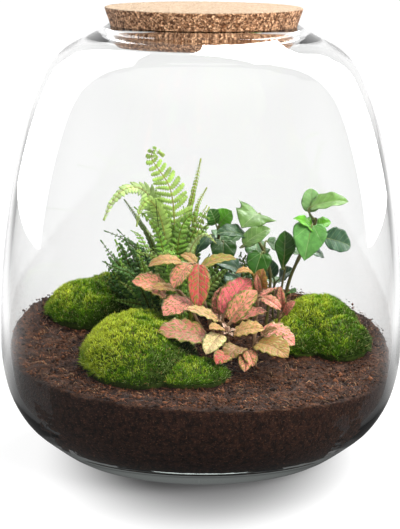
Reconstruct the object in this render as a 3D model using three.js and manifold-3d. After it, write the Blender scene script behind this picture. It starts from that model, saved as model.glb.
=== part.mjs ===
// A closed glass terrarium: a wide-bellied jar with a cork plug in its mouth,
// a bed of dark soil, three moss cushions, a fern, ivies and a pink fittonia.
// Millimetres, +Z up, origin at the middle of the underside of the jar.
import * as THREE from 'three';
import { mergeVertices } from 'three/addons/utils/BufferGeometryUtils.js';
import Module from 'manifold-3d';

const wasm = await Module();
wasm.setup();

// Driving dimensions
const SIDES = 32;              // facets round the jar, the soil and the cork
const GAP = 0.4;               // clearance between pieces that touch
const WALL_OUTER = [[75, 0], [85, 3], [98, 12], [109.5, 22], [119, 38], [124.4, 60], [125, 84],
  [123, 124], [117, 168], [109.2, 202], [99.4, 230], [92, 244.6], [83.6, 253.2], [73, 259.2],
  [60.8, 265.6]];
const MOUTH = [[59.2, 267], [57.2, 266.8]];
const WALL_INNER = [[56.4, 262.4], [70.6, 255.6], [80, 250], [88, 241.6], [95, 228.6],
  [104.8, 200.4], [112.6, 166.6], [118.5, 123.4], [120.5, 84], [119.6, 60], [114, 38],
  [103.6, 23.8], [88, 14], [60, 11.5]];
const CORK = { bottom: 252.6, top: 278, lowRadius: 51.95, taper: 0.34, round: 1.2 };
const SOIL_LEVEL = 68;         // height of the soil at the jar's axis
const SOIL_RISE = 10;          // how far the bed rises to the back and falls to the front
const SOIL_RUN = 60;           // depth over which it does most of that
const SOIL_TILT = -0.035;      // and it is a little higher on the left
const SOIL_SEAT = 0.6;         // what lies on the soil clears it by this
const BLADE = 0.8;             // thickness of a leaf or a frond
const ROOT_DEPTH = 14;         // how deep a stem stands in the soil
const PEG_CLEARANCE = 0.35;    // its hole in the soil is this much wider all round
const HOLE_SIDES = 4;          // the holes are square

const soilHeight = (x, y) => SOIL_LEVEL + SOIL_RISE * Math.tanh(y / SOIL_RUN) + SOIL_TILT * x;
const vector = (list) => new THREE.Vector3(...list);

// Closed solids from triangles and from three.js geometries
function solid(points, triangles) {
  const mesh = new wasm.Mesh({
    numProp: 3,
    vertProperties: new Float32Array(points.flatMap((p) => [p.x, p.y, p.z])),
    triVerts: new Uint32Array(triangles.flat()),
  });
  return new wasm.Manifold(mesh);
}

function solidOf(geometry) {
  geometry.deleteAttribute('normal');
  geometry.deleteAttribute('uv');
  const merged = mergeVertices(geometry, 1e-4);
  const place = merged.attributes.position;
  const points = Array.from({ length: place.count }, (_, i) =>
    new THREE.Vector3().fromBufferAttribute(place, i));
  const triangles = [];
  for (let i = 0; i < merged.index.count; i += 3) {
    const [a, b, c] = [0, 1, 2].map((k) => merged.index.getX(i + k));
    if (a !== b && b !== c && c !== a) triangles.push([a, b, c]);
  }
  return solid(points, triangles);
}

function fuse(solids) {
  return solids.reduce((whole, next) => whole.add(next)).simplify(0.02);
}

function geometryOf(body) {
  const { vertProperties, triVerts } = body.getMesh();
  const geometry = new THREE.BufferGeometry();
  geometry.setAttribute('position', new THREE.BufferAttribute(new Float32Array(vertProperties), 3));
  geometry.setIndex(new THREE.BufferAttribute(new Uint32Array(triVerts), 1));
  return geometry;
}

// A profile of [radius, height] points turned round the vertical axis
function turned(profile) {
  const lathe = new THREE.LatheGeometry(profile.map(([r, z]) => new THREE.Vector2(r, z)), SIDES);
  lathe.rotateX(Math.PI / 2);
  return solidOf(lathe);
}

// Radius of the inside of the glass at a height, between the points of its profile
function innerRadius(z) {
  for (let i = 1; i < WALL_INNER.length; i += 1) {
    const [[r1, z1], [r2, z2]] = [WALL_INNER[i - 1], WALL_INNER[i]];
    if (z <= z1 && z >= z2) return r2 + (r1 - r2) * (z - z2) / (z1 - z2);
  }
  return WALL_INNER[WALL_INNER.length - 1][0];
}

// A closed solid between an upper and a lower surface on one ring pattern round a centre:
// rings[k] gives the k-th ring of the upper surface, lower[k] those of the lower one.
function between(centreTop, upper, lower, centreBottom) {
  const count = upper[0].length;
  const rings = [...upper, ...[...lower].reverse()];
  const points = [centreTop, ...rings.flat(), centreBottom];
  const last = points.length - 1;
  const at = (ring, i) => 1 + ring * count + (i % count);
  const triangles = [];
  for (let i = 0; i < count; i += 1) {
    triangles.push([0, at(0, i), at(0, i + 1)]);
    for (let ring = 0; ring < rings.length - 1; ring += 1) {
      triangles.push([at(ring, i), at(ring + 1, i), at(ring + 1, i + 1)]);
      triangles.push([at(ring, i), at(ring + 1, i + 1), at(ring, i + 1)]);
    }
    triangles.push([at(rings.length - 1, i), last, at(rings.length - 1, i + 1)]);
  }
  return solid(points, triangles);
}

// The glass jar: one blown wall, a thicker base and a rounded lip
function glassJar() {
  return turned([[0, 0], ...WALL_OUTER, ...MOUTH, ...WALL_INNER, [0, 10.6]]);
}

// The cork plug: a tapered disc that hangs in the mouth on its slanted side
function corkLid() {
  const { bottom, top, lowRadius, taper, round } = CORK;
  const radiusAt = (z) => lowRadius + taper * (z - bottom);
  return turned([[0, bottom], [lowRadius - round, bottom], [radiusAt(bottom + round), bottom + round],
    [radiusAt(top - round), top - round], [radiusAt(top) - round, top], [0, top]]);
}

// The soil: it fills the belly of the jar up to a surface that rises to the back
function soilBed(pegs) {
  const SIDE_HEIGHTS = [50, 35, 22, 14.6];
  const FLOOR = { radius: 60, height: 12.1, middle: 11.2 };
  const RINGS = [0.2, 0.42, 0.64, 0.84, 1];
  const turns = Array.from({ length: SIDES }, (_, i) => 2 * Math.PI * i / SIDES);
  const ringAt = (radius, height) => turns.map((a) => {
    const r = radius(a);
    const [x, y] = [r * Math.sin(a), -r * Math.cos(a)];
    return new THREE.Vector3(x, y, height(x, y));
  });
  // Where the surface meets the glass: its height and its radius settle in a few rounds
  const rim = (a) => {
    const ROUNDS = 4;
    let r = innerRadius(SOIL_LEVEL);
    for (let i = 0; i < ROUNDS; i += 1) {
      r = innerRadius(soilHeight(r * Math.sin(a), -r * Math.cos(a))) - GAP;
    }
    return r;
  };
  const upper = RINGS.map((part) => ringAt((a) => part * rim(a), soilHeight));
  const side = SIDE_HEIGHTS.map((z) => ringAt(() => innerRadius(z) - GAP, () => z));
  const floor = ringAt(() => FLOOR.radius, () => FLOOR.height);
  const bed = between(new THREE.Vector3(0, 0, soilHeight(0, 0)), upper, [floor, ...side.reverse()],
    new THREE.Vector3(0, 0, FLOOR.middle));
  const holes = pegs.map(({ x, y, radius, depth }) => {
    const corner = (radius + PEG_CLEARANCE) / Math.cos(Math.PI / HOLE_SIDES);
    const hole = new THREE.CylinderGeometry(corner, corner, depth * 2, HOLE_SIDES);
    hole.rotateX(Math.PI / 2);
    hole.translate(x, y, soilHeight(x, y));
    return solidOf(hole);
  });
  return holes.reduce((whole, hole) => whole.subtract(hole), bed);
}

// A moss cushion: rounded lobes with creases between them, knobbly all over,
// its underside following the soil
function mossCushion({ centre, lobes, turns = 22, rings = 7, knob = 0.8 }) {
  const [cx, cy] = centre;
  const RIM = 1.4;             // thickness at the cushion's edge
  const STEP = 0.5;            // the edge is found to within this
  const swell = (x, y) => Math.max(...lobes.map(([lx, ly, rx, ry, h]) =>
    h * Math.sqrt(Math.max(0, 1 - ((x - lx) / rx) ** 2 - ((y - ly) / ry) ** 2))));
  const edge = (a) => {
    let r = STEP;
    while (swell(cx + (r + STEP) * Math.cos(a), cy + (r + STEP) * Math.sin(a)) > 0) r += STEP;
    return r;
  };
  const angles = Array.from({ length: turns }, (_, i) => 2 * Math.PI * i / turns);
  const edges = angles.map(edge);
  const seat = (x, y) => soilHeight(x, y) + SOIL_SEAT;
  const upper = Array.from({ length: rings }, (_, k) => angles.map((a, i) => {
    const part = Math.sin((k + 1) / rings * Math.PI / 2);
    const [x, y] = [cx + part * edges[i] * Math.cos(a), cy + part * edges[i] * Math.sin(a)];
    const lift = knob * ((7 * i + 4 * k * k) % 5 / 2 - 1);
    return new THREE.Vector3(x, y, seat(x, y) + RIM + swell(x, y) + (k < rings - 1 ? lift : 0));
  }));
  const lower = [0.5, 1].map((part) => angles.map((a, i) => {
    const [x, y] = [cx + part * edges[i] * Math.cos(a), cy + part * edges[i] * Math.sin(a)];
    return new THREE.Vector3(x, y, seat(x, y));
  }));
  return between(new THREE.Vector3(cx, cy, seat(cx, cy) + RIM + swell(cx, cy)), upper, lower,
    new THREE.Vector3(cx, cy, seat(cx, cy)));
}

// A thin solid from a flat pattern of [along, across] points and its faces. frameAt gives
// the place, across and up directions at a distance along, lift the height of each point.
function sheet(pattern, faces, frameAt, lift) {
  const turn = ([a, b, c]) => {
    const [[ax, ay], [bx, by], [px, py]] = [pattern[a], pattern[b], pattern[c]];
    return (bx - ax) * (py - ay) - (by - ay) * (px - ax) < 0 ? [a, c, b] : [a, b, c];
  };
  const front = faces.map(turn);
  const skin = (half) => pattern.map(([s, v], i) => {
    const { place, across, up } = frameAt(s);
    return place.clone().addScaledVector(across, v).addScaledVector(up, lift(s, v, i) + half);
  });
  const points = [...skin(BLADE / 2), ...skin(-BLADE / 2)];
  const below = pattern.length;
  const edges = new Set(front.flatMap(([a, b, c]) => [`${a},${b}`, `${b},${c}`, `${c},${a}`]));
  const walls = [...edges].map((e) => e.split(',').map(Number))
    .filter(([a, b]) => !edges.has(`${b},${a}`))
    .flatMap(([a, b]) => [[a + below, b + below, b], [a + below, b, a]]);
  const back = front.map(([a, b, c]) => [a + below, c + below, b + below]);
  return solid(points, [...front, ...back, ...walls]);
}

// A round shoot along a curve, with few sides
function shoot(points, radius, sides, steps) {
  const path = new THREE.CatmullRomCurve3(points);
  const turns = Array.from({ length: sides }, (_, i) => 2 * Math.PI * i / sides);
  const section = new THREE.Shape(turns.map((a) =>
    new THREE.Vector2(radius * Math.cos(a), radius * Math.sin(a))));
  return solidOf(new THREE.ExtrudeGeometry(section, { steps, bevelEnabled: false, extrudePath: path }));
}

// Leaf outlines: rows of [midrib, edge, width], as parts of the leaf's length and half width
const OUTLINES = {
  fittonia: [[0.08, 0.03, 0.6], [0.3, 0.26, 1], [0.6, 0.58, 0.98], [0.88, 0.86, 0.6]],
  ivy: [[0.1, -0.06, 0.54], [0.2, 0.14, 1], [0.36, 0.36, 0.64], [0.54, 0.54, 0.74], [0.78, 0.78, 0.42]],
  heart: [[0.1, -0.08, 0.56], [0.26, 0.16, 1], [0.52, 0.46, 0.9], [0.8, 0.78, 0.5]],
  oval: [[0.1, 0.06, 0.6], [0.34, 0.3, 1], [0.64, 0.62, 0.92], [0.88, 0.88, 0.52]],
  spoon: [[0.12, 0.1, 0.26], [0.38, 0.36, 0.66], [0.66, 0.64, 1], [0.88, 0.88, 0.66]],
};

// A leaf on its stalk, as one thin blade. It runs from a point on its shoot to the leaf's base
// and on to its tip. face is the side that the upper surface looks to, bow lifts the leaf's
// middle, fold lifts its edges and wave ripples them.
function leaf({ from, base, tip, width, face, outline, stalk, bow = 0.1, fold = 0.25, wave = 0.04 }) {
  const start = vector(base);
  const along = vector(tip).sub(start);
  const length = along.length();
  along.normalize();
  const up = vector(face);
  up.addScaledVector(along, -up.dot(along)).normalize();
  const across = up.clone().cross(along);
  const reach = from.distanceTo(start);
  const elbow = start.clone().addScaledVector(along, -0.4 * reach);
  const stem = new THREE.QuadraticBezierCurve3(from, elbow, start);
  const frameAt = (s) => {
    if (s >= 0) return { place: start.clone().addScaledVector(along, s), across, up };
    const heading = stem.getTangent(1 + s / reach);
    const side = across.clone().addScaledVector(heading, -across.dot(heading)).normalize();
    return { place: stem.getPoint(1 + s / reach), across: side, up: heading.clone().cross(side) };
  };
  const rows = [[-reach, -reach, stalk], [-reach / 2, -reach / 2, stalk],
    ...OUTLINES[outline].map(([mid, edge, half], i) =>
      [mid * length, edge * length, half * (1 + (i % 2 ? wave : -wave)) * width / 2])];
  const pattern = rows.flatMap(([mid, edge, half]) => [[mid, 0], [edge, half], [edge, -half]]);
  const faces = [];
  for (let i = 0; i < rows.length - 1; i += 1) {
    const [m, l, r] = [3 * i, 3 * i + 1, 3 * i + 2];
    faces.push([m, m + 3, l + 3], [m, l + 3, l], [m, m + 3, r + 3], [m, r + 3, r]);
  }
  const lastRow = 3 * (rows.length - 1);
  const end = pattern.push([length, 0]) - 1;
  faces.push([lastRow, end, lastRow + 1], [lastRow, end, lastRow + 2]);
  const STALK_POINTS = 6;
  const lift = (s, v, i) => {
    if (i < STALK_POINTS) return 0;
    const t = Math.max(0, s / length);
    const ripple = (Math.floor(i / 3) % 2 === 0 ? 1 : -1) * Math.abs(v);
    return 4 * bow * length * t * (1 - t) + fold * Math.abs(v) + 2 * wave * ripple;
  };
  return sheet(pattern, faces, frameAt, lift);
}

// The upright foot of a stem, and the hole that it needs in the soil
const pegs = [];

function plantPeg([x, y], radius) {
  const COLLAR = 3;            // a stem is upright up to this height over the soil
  pegs.push({ x, y, radius, depth: ROOT_DEPTH + PEG_CLEARANCE });
  return [-ROOT_DEPTH, -ROOT_DEPTH / 2, COLLAR].map((z) =>
    new THREE.Vector3(x, y, soilHeight(x, y) + z));
}

// A leafy stem: a shoot rooted in the soil, and its leaves on their stalks
function leafyStem({ root, path, radius, stalk, leaves, ...manner }) {
  const points = [...plantPeg(root, radius), ...path.map(vector)];
  const curve = new THREE.CatmullRomCurve3(points);
  const blades = leaves.map(({ at, ...entry }) =>
    leaf({ from: curve.getPointAt(at), stalk, ...manner, ...entry }));
  const SHOOT_SIDES = 5;
  return fuse([shoot(points, radius, SHOOT_SIDES, points.length), ...blades]);
}

// A fern frond: one thin arched blade, its stalk standing in the soil and its upper part cut
// to the rib on both sides into leaflets. bare is the share of its length below the first
// pair, reach the length of the longest leaflets and slant their angle to the rib.
function frond({ root, path, face, bare, pairs, reach, slant = 62, droop = 0.012, lobed = false }) {
  const HALF_STALK = 0.7;
  const STALK_STEPS = 4;
  const PEG_RADIUS = 1;        // of the stalk's hole, before its clearance
  const points = [...plantPeg(root, PEG_RADIUS), ...path.map(vector)];
  const curve = new THREE.CatmullRomCurve3(points);
  const total = curve.getLength();
  const look = vector(face);
  const frameAt = (s) => {
    const u = Math.min(1, Math.max(0, s / total));
    const along = curve.getTangentAt(u);
    const up = look.clone().addScaledVector(along, -look.dot(along)).normalize();
    return { place: curve.getPointAt(u), across: up.clone().cross(along), up };
  };
  const first = bare * total;
  const pitch = (total - first) / (pairs + 0.5);
  const [forward, sideways] = [Math.cos(slant * Math.PI / 180), Math.sin(slant * Math.PI / 180)];
  const cuts = lobed ? [[0.2, 0.6], [0.66, 0.86]] : [[0.5, 0.85]];
  const pattern = [];
  const faces = [];
  const add = (s, v) => pattern.push([s, v]) - 1;
  const ribAt = (s) => [add(s, HALF_STALK), add(s, -HALF_STALK)];
  const ribTo = (rib, s) => {
    const next = ribAt(s);
    faces.push([rib[0], rib[1], next[1]], [rib[0], next[1], next[0]]);
    return next;
  };
  let rib = ribAt(0);
  for (let i = 1; i <= STALK_STEPS; i += 1) rib = ribTo(rib, first * i / STALK_STEPS);
  for (let k = 0; k < pairs; k += 1) {
    const t = k / pairs;
    const size = reach * Math.min(0.7 + 1.5 * t, 1) * Math.min(1, 1.25 * (1 - t));
    const next = ribTo(rib, first + pitch * (k + 1));
    [1, -1].forEach((side, i) => {
      const point = (part, w) => add(
        first + pitch * (k + 0.5) + forward * part * size - sideways * w,
        side * (HALF_STALK + sideways * part * size + forward * w));
      let [near, far] = [rib[i], next[i]];
      cuts.forEach(([part, share]) => {
        const half = share * Math.min(0.5 * pitch * sideways, 0.3 * size);
        const [a, b] = [point(part, half), point(part, -half)];
        faces.push([near, a, b], [near, b, far]);
        [near, far] = [a, b];
      });
      faces.push([near, point(1, 0), far]);
    });
    rib = next;
  }
  faces.push([rib[0], rib[1], add(total, 0)]);
  return sheet(pattern, faces, frameAt, (s, v) => -droop * v * v);
}

// Where each fern frond stands, and how it arches, from the soil to its tip
const FRONDS = {
  tall: { root: [-18, 30], path: [[-18, 29, 125], [-18, 28, 148], [-21, 26, 164], [-27, 22, 174],
    [-32, 16, 183], [-30, 9, 189], [-24, 4, 186]], face: [0, -1, 0.25], bare: 0.44, pairs: 9, reach: 13,
    slant: 66, lobed: true },
  arching_left: { root: [-23, 35], path: [[-26, 35, 125], [-30, 35, 148], [-38, 29, 161],
    [-48, 21, 163], [-57, 14, 155], [-62, 11, 144]],
    face: [-0.2, -0.75, 0.6], bare: 0.5, pairs: 10, reach: 9.5, slant: 56 },
  drooping_left: { root: [-20, 25], path: [[-23, 24, 128], [-28, 19, 149], [-34, 13, 157],
    [-39, 8, 151], [-41, 6, 141]], face: [-0.3, -0.9, 0.4], bare: 0.52, pairs: 8, reach: 6.5 },
  upright: { root: [-12, 35], path: [[-11, 37, 125], [-7, 40, 152], [-4, 42, 165], [-1, 44, 179]],
    face: [0, -1, 0.2], bare: 0.42, pairs: 8, reach: 5.5, slant: 35 },
  upright_small: { root: [-7, 31], path: [[-6, 30, 125], [-3, 32, 150], [3, 34, 162]],
    face: [0, -1, 0.2], bare: 0.5, pairs: 7, reach: 5, slant: 35 },
  dark_narrow: { root: [-26, 41], path: [[-32, 44, 122], [-40, 48, 136], [-51, 52, 151]],
    face: [0.3, -1, 0.5], bare: 0.4, pairs: 8, reach: 5, slant: 40 },
  dark_left_upper: { root: [-31, 38], path: [[-40, 42, 116], [-52, 46, 126], [-64, 48, 131]],
    face: [0.2, -0.8, 1], bare: 0.34, pairs: 8, reach: 6 },
  dark_left_middle: { root: [-35, 32], path: [[-46, 30, 105], [-56, 30, 115], [-65, 30, 128]],
    face: [0.3, -0.9, 0.8], bare: 0.34, pairs: 8, reach: 6 },
  dark_left_lower: { root: [-31, 26], path: [[-44, 21, 107], [-54, 18, 112], [-63, 16, 117]],
    face: [0, -0.7, 1], bare: 0.4, pairs: 7, reach: 5 },
  dark_back_left: { root: [-29, 46], path: [[-38, 54, 112], [-48, 60, 121], [-56, 64, 129]],
    face: [0.3, -0.8, 1], bare: 0.36, pairs: 7, reach: 6.5 },
  fine_dark: { root: [-23, 20], path: [[-25, 17, 125], [-28, 13, 145], [-29, 10, 158]],
    face: [0, -1, 0.2], bare: 0.45, pairs: 8, reach: 3.5 },
  middle_left: { root: [-18, 18], path: [[-23, 13, 120], [-29, 8, 139], [-36, 4, 149]],
    face: [0, -1, 0.5], bare: 0.4, pairs: 8, reach: 7 },
  middle_right: { root: [-14, 25], path: [[-15, 22, 128], [-10, 19, 144], [-3, 17, 148], [5, 14, 145]],
    face: [0.2, -0.8, 0.7], bare: 0.45, pairs: 8, reach: 7 },
  pale_right: { root: [-11, 15], path: [[-8, 12, 122], [-3, 8, 133], [3, 4, 137], [9, 0, 132]],
    face: [0.1, -0.8, 0.8], bare: 0.5, pairs: 7, reach: 4 },
  front_low: { root: [-13, 12], path: [[-16, 9, 110], [-20, 1, 125], [-26, -9, 127]],
    face: [0, -0.8, 0.8], bare: 0.45, pairs: 7, reach: 7 },
  back_right: { root: [-12, 43], path: [[-6, 54, 116], [4, 64, 132], [14, 72, 134]],
    face: [0, 0.3, 1], bare: 0.36, pairs: 7, reach: 8 },
  back_middle: { root: [-19, 48], path: [[-20, 58, 118], [-20, 70, 138], [-18, 82, 142]],
    face: [0, 0.2, 1], bare: 0.36, pairs: 8, reach: 9 },
  back_left: { root: [-26, 52], path: [[-34, 66, 108], [-42, 78, 122], [-48, 88, 124]],
    face: [0, 0.3, 1], bare: 0.36, pairs: 7, reach: 8 },
};

// The ivies: leaves named by what carries them, base, tip and width in millimetres
const IVIES = {
  ivy_middle_front: { root: [42, 27], path: [[44, 28, 95], [44, 28, 109], [38, 25, 126], [32, 22, 136]],
    radius: 1.1, stalk: 0.6, leaves: [
      { at: 0.97, base: [36, 24, 147], tip: [25, 11, 140], width: 31,
        face: [0.05, -0.62, 0.78], outline: 'ivy' },
      { at: 0.9, base: [26, 6, 130], tip: [43, 10, 140], width: 12, face: [0.2, -0.8, 1], outline: 'oval' },
      { at: 0.84, base: [28, 13, 135], tip: [9, 6, 137], width: 14, face: [0.1, -0.5, 1], outline: 'oval' },
      { at: 0.78, base: [42, 30, 128], tip: [50, 36, 118], width: 13, face: [0.5, -0.6, 1], outline: 'oval' },
      { at: 0.72, base: [38, 19, 122], tip: [33, 13, 107], width: 16,
        face: [-0.1, -1, 0.4], outline: 'heart' },
      { at: 0.62, base: [36, 34, 118], tip: [34, 52, 126], width: 17, face: [0, 0.4, 1], outline: 'ivy' },
    ] },
  ivy_middle_back: { root: [10, 44], path: [[9, 43, 100], [10, 41, 122], [12, 38, 136]],
    radius: 1.1, stalk: 0.6, leaves: [
      { at: 0.97, base: [11, 36, 137], tip: [19, 33, 147], width: 15,
        face: [-0.2, -1, 0.6], outline: 'oval' },
      { at: 0.93, base: [9, 35, 138], tip: [5, 34, 148], width: 12, face: [0.3, -1, 0.5], outline: 'oval' },
      { at: 0.86, base: [5, 38, 130], tip: [-4, 30, 119], width: 14,
        face: [-0.4, -0.9, 0.7], outline: 'heart' },
      { at: 0.8, base: [14, 36, 126], tip: [13, 26, 110], width: 17, face: [0.1, -1, 0.4], outline: 'heart' },
      { at: 0.75, base: [12, 47, 124], tip: [12, 63, 130], width: 16, face: [0, 0.4, 1], outline: 'ivy' },
      { at: 0.7, base: [17, 44, 122], tip: [28, 50, 130], width: 15, face: [0.3, 0, 1], outline: 'ivy' },
    ] },
  ivy_middle_low: { root: [24, 33], path: [[25, 32, 88], [26, 31, 100], [26, 29, 108]],
    radius: 0.9, stalk: 0.55, leaves: [
      { at: 0.97, base: [24, 26, 110], tip: [8, 22, 115], width: 15, face: [0, -0.7, 1], outline: 'ivy' },
      { at: 0.86, base: [25, 23, 105], tip: [16, 10, 104], width: 14,
        face: [-0.1, -0.6, 1], outline: 'oval' },
      { at: 0.78, base: [27, 38, 102], tip: [24, 56, 104], width: 16, face: [0, 0.4, 1], outline: 'ivy' },
    ] },
  ivy_low_right: { root: [47, 44], path: [[47, 44, 88], [48, 44, 99]],
    radius: 0.8, stalk: 0.5, leaves: [
      { at: 0.97, base: [47, 41, 102], tip: [40, 37, 116], width: 11, face: [0, -1, 0.6], outline: 'oval' },
      { at: 0.92, base: [51, 42, 101], tip: [60, 38, 108], width: 11, face: [0, -0.8, 1], outline: 'oval' },
      { at: 0.8, base: [47, 50, 97], tip: [42, 66, 100], width: 14, face: [0, 0.4, 1], outline: 'ivy' },
    ] },
  ivy_right: { root: [53, 36], path: [[55, 35, 93], [58, 34, 105], [64, 31, 120], [71, 28, 136],
    [73, 28, 144]],
    radius: 1.2, stalk: 0.65, leaves: [
      { at: 0.98, base: [69, 25, 151], tip: [93, 20, 156], width: 15,
        face: [-0.2, -0.6, 1], outline: 'oval' },
      { at: 0.96, base: [69, 31, 147], tip: [70, 35, 162], width: 13, face: [0.2, -1, 0.4], outline: 'oval' },
      { at: 0.9, base: [70, 25, 138], tip: [58, 19, 145], width: 14, face: [0, -0.7, 1], outline: 'ivy' },
      { at: 0.88, base: [70, 22, 140], tip: [65, 13, 119], width: 22,
        face: [-0.1, -1, 0.35], outline: 'heart' },
      { at: 0.86, base: [74, 30, 138], tip: [83, 30, 141], width: 10, face: [0, -0.7, 1], outline: 'oval' },
      { at: 0.78, base: [79, 33, 130], tip: [97, 36, 124], width: 17, face: [0.2, -1, 0.7], outline: 'oval' },
      { at: 0.7, base: [71, 36, 120], tip: [80, 43, 116], width: 9, face: [0.3, -0.8, 1], outline: 'oval' },
      { at: 0.66, base: [64, 38, 118], tip: [64, 58, 124], width: 16, face: [0, 0.4, 1], outline: 'ivy' },
    ] },
  ivy_right_spoon: { root: [49, 27], path: [[51, 28, 92], [53, 29, 106], [54, 29, 112]],
    radius: 0.9, stalk: 0.7, leaves: [
      { at: 0.97, base: [52, 28, 111], tip: [53, 25, 136], width: 14,
        face: [0.2, -1, 0.2], outline: 'spoon' },
      { at: 0.7, base: [54, 22, 94], tip: [60, 12, 99], width: 9, face: [0, -0.6, 1], outline: 'oval' },
    ] },
};

// The fittonia: a low spreading plant of soft shoots with leaves to all sides
const FITTONIA = {
  fittonia_tall: { root: [9, -3], path: [[4, -4, 88], [0, -6, 104], [-3, -8, 117]],
    radius: 1.2, stalk: 0.6, leaves: [
      { at: 0.97, base: [-12, -8, 121], tip: [-33, -14, 120], width: 10, face: [0, -0.5, 1], bow: 0.16 },
      { at: 0.95, base: [-4, -3, 120], tip: [-13, 5, 124], width: 8, face: [0, -0.4, 1], bow: 0.12 },
      { at: 0.93, base: [-8, -12, 121], tip: [-17, -22, 108], width: 13, face: [-0.5, -0.9, 0.7] },
      { at: 0.98, base: [-2, -12, 121], tip: [-2, -24, 96], width: 14, face: [0.1, -1, 0.4] },
      { at: 0.96, base: [0, -6, 118], tip: [22, 2, 122], width: 9, face: [0, -0.5, 1], bow: 0.14 },
    ] },
  fittonia_left: { root: [3, 2], path: [[-3, 0, 84], [-9, -3, 96], [-14, -5, 103]],
    radius: 1.1, stalk: 0.6, leaves: [
      { at: 0.97, base: [-22, -5, 100], tip: [-43, -12, 110], width: 18, face: [-0.1, -0.7, 1], bow: 0.16 },
      { at: 0.95, base: [-16, -9, 104], tip: [-30, -19, 107], width: 9, face: [0, -0.6, 1] },
      { at: 0.9, base: [-6, -12, 97], tip: [-23, -31, 93], width: 19, face: [-0.1, -0.7, 1] },
      { at: 0.88, base: [-12, 2, 96], tip: [-22, 6, 94], width: 10, face: [0, 0.3, 1] },
    ] },
  fittonia_crown: { root: [16, -14], path: [[15, -16, 78], [14, -20, 86]],
    radius: 1.5, stalk: 0.7, leaves: [
      { at: 0.96, base: [10, -25, 89], tip: [-9, -34, 98], width: 11, face: [0, -0.5, 1], bow: 0.06 },
      { at: 0.97, base: [14, -18, 91], tip: [30, -4, 111], width: 19, face: [-0.3, -1, 0.9] },
      { at: 0.9, base: [11, -13, 90], tip: [15, -4, 106], width: 12, face: [-0.4, -1, 0.6] },
      { at: 0.95, base: [18, -28, 89], tip: [34, -21, 107], width: 15, face: [-0.5, -1, 0.8] },
      { at: 0.85, base: [20, -16, 86], tip: [41, -12, 92], width: 13, face: [0, -0.3, 1] },
      { at: 0.8, base: [12, -8, 86], tip: [16, 10, 90], width: 15, face: [0, 0.3, 1] },
    ] },
  fittonia_front: { root: [18, -27], path: [[17, -30, 75], [15, -34, 83]],
    radius: 1.3, stalk: 0.7, leaves: [
      { at: 0.97, base: [4, -38, 81], tip: [-26, -49, 87], width: 22, face: [-0.1, -0.6, 1], bow: 0.06 },
      { at: 0.96, base: [13, -40, 87], tip: [5, -48, 89], width: 9, face: [0, -0.5, 1] },
      { at: 0.9, base: [12, -42, 84], tip: [3, -55, 75], width: 13, face: [-0.3, -1, 0.8] },
      { at: 0.95, base: [20, -39, 84], tip: [38, -44, 88], width: 14, face: [0, -0.5, 1] },
    ] },
  fittonia_front_low: { root: [25, -40], path: [[25, -41, 70], [24, -44, 76]],
    radius: 1.2, stalk: 0.6, leaves: [
      { at: 0.9, base: [16, -56, 76], tip: [9, -67, 72], width: 11, face: [-0.1, -0.9, 0.8] },
      { at: 0.95, base: [24, -48, 77], tip: [15, -62, 73], width: 14, face: [0, -0.4, 1], bow: 0.2 },
      { at: 0.86, base: [27, -49, 74], tip: [26, -62, 66], width: 9, face: [0, -1, 0.8] },
      { at: 0.9, base: [28, -49, 76], tip: [31, -60, 69], width: 9, face: [0.1, -1, 0.8] },
    ] },
  fittonia_right: { root: [33, -35], path: [[33, -37, 70], [33, -39, 75]],
    radius: 1.2, stalk: 0.6, leaves: [
      { at: 0.96, base: [34, -43, 79], tip: [52, -57, 74], width: 19, face: [0.1, -0.6, 1], bow: 0.12 },
      { at: 0.9, base: [37, -33, 85], tip: [57, -38, 77], width: 17, face: [0.1, -0.6, 1] },
      { at: 0.94, base: [36, -38, 82], tip: [46, -42, 88], width: 8, face: [0, -0.4, 1] },
    ] },
  fittonia_back_right: { root: [33, -12], path: [[34, -10, 84], [35, -7, 97], [36, -4, 107]],
    radius: 1.1, stalk: 0.55, leaves: [
      { at: 0.97, base: [33, -4, 112], tip: [21, -9, 115], width: 8, face: [0, -0.3, 1], bow: 0.24 },
      { at: 0.99, base: [38, -8, 106], tip: [38, -14, 119], width: 11, face: [-0.4, -0.9, 0.8] },
      { at: 0.9, base: [36, -9, 104], tip: [34, -13, 115], width: 5, face: [-0.3, -1, 0.3] },
      { at: 0.85, base: [38, -10, 100], tip: [49, -17, 94], width: 9, face: [0.2, -0.8, 1] },
      { at: 0.8, base: [38, -2, 98], tip: [50, 8, 102], width: 12, face: [0, 0.3, 1] },
    ] },
  fittonia_far_right: { root: [45, -8], path: [[48, -7, 82], [50, -6, 90]],
    radius: 0.9, stalk: 0.5, leaves: [
      { at: 0.97, base: [51, -8, 93], tip: [49, -9, 107], width: 6, face: [-0.4, -1, 0.3] },
      { at: 0.9, base: [52, -11, 90], tip: [58, -15, 99], width: 7, face: [0.2, -0.7, 1] },
    ] },
};
const FITTONIA_MANNER = { outline: 'fittonia', wave: 0.05, fold: 0.2 };

// Moss cushions: a point inside each, and its lobes as [x, y, half width, half depth, height]
const CUSHIONS = {
  moss_cushion_left: { centre: [-68, 45], lobes: [[-74, 39, 26, 27, 19], [-58, 64, 25, 22, 18]] },
  moss_cushion_front: { centre: [-34, -37], lobes: [[-38, -37, 33, 49, 25], [-10, -60, 26, 21, 9.5]] },
  moss_cushion_right: { centre: [76, 20], lobes: [[77, 24, 24, 34, 20], [86, 3, 20, 25, 16.5],
    [62, 6, 18, 24, 13.5]] },
};

// Colours, roughness and see-through of each kind of piece
const finish = (color, roughness, more = {}) => new THREE.MeshStandardMaterial({ color, roughness, ...more });
const terrarium = new THREE.Group();
terrarium.name = 'glass_plant_terrarium';

function place(name, body, material) {
  const mesh = new THREE.Mesh(geometryOf(body), material);
  mesh.name = name;
  terrarium.add(mesh);
}

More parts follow.
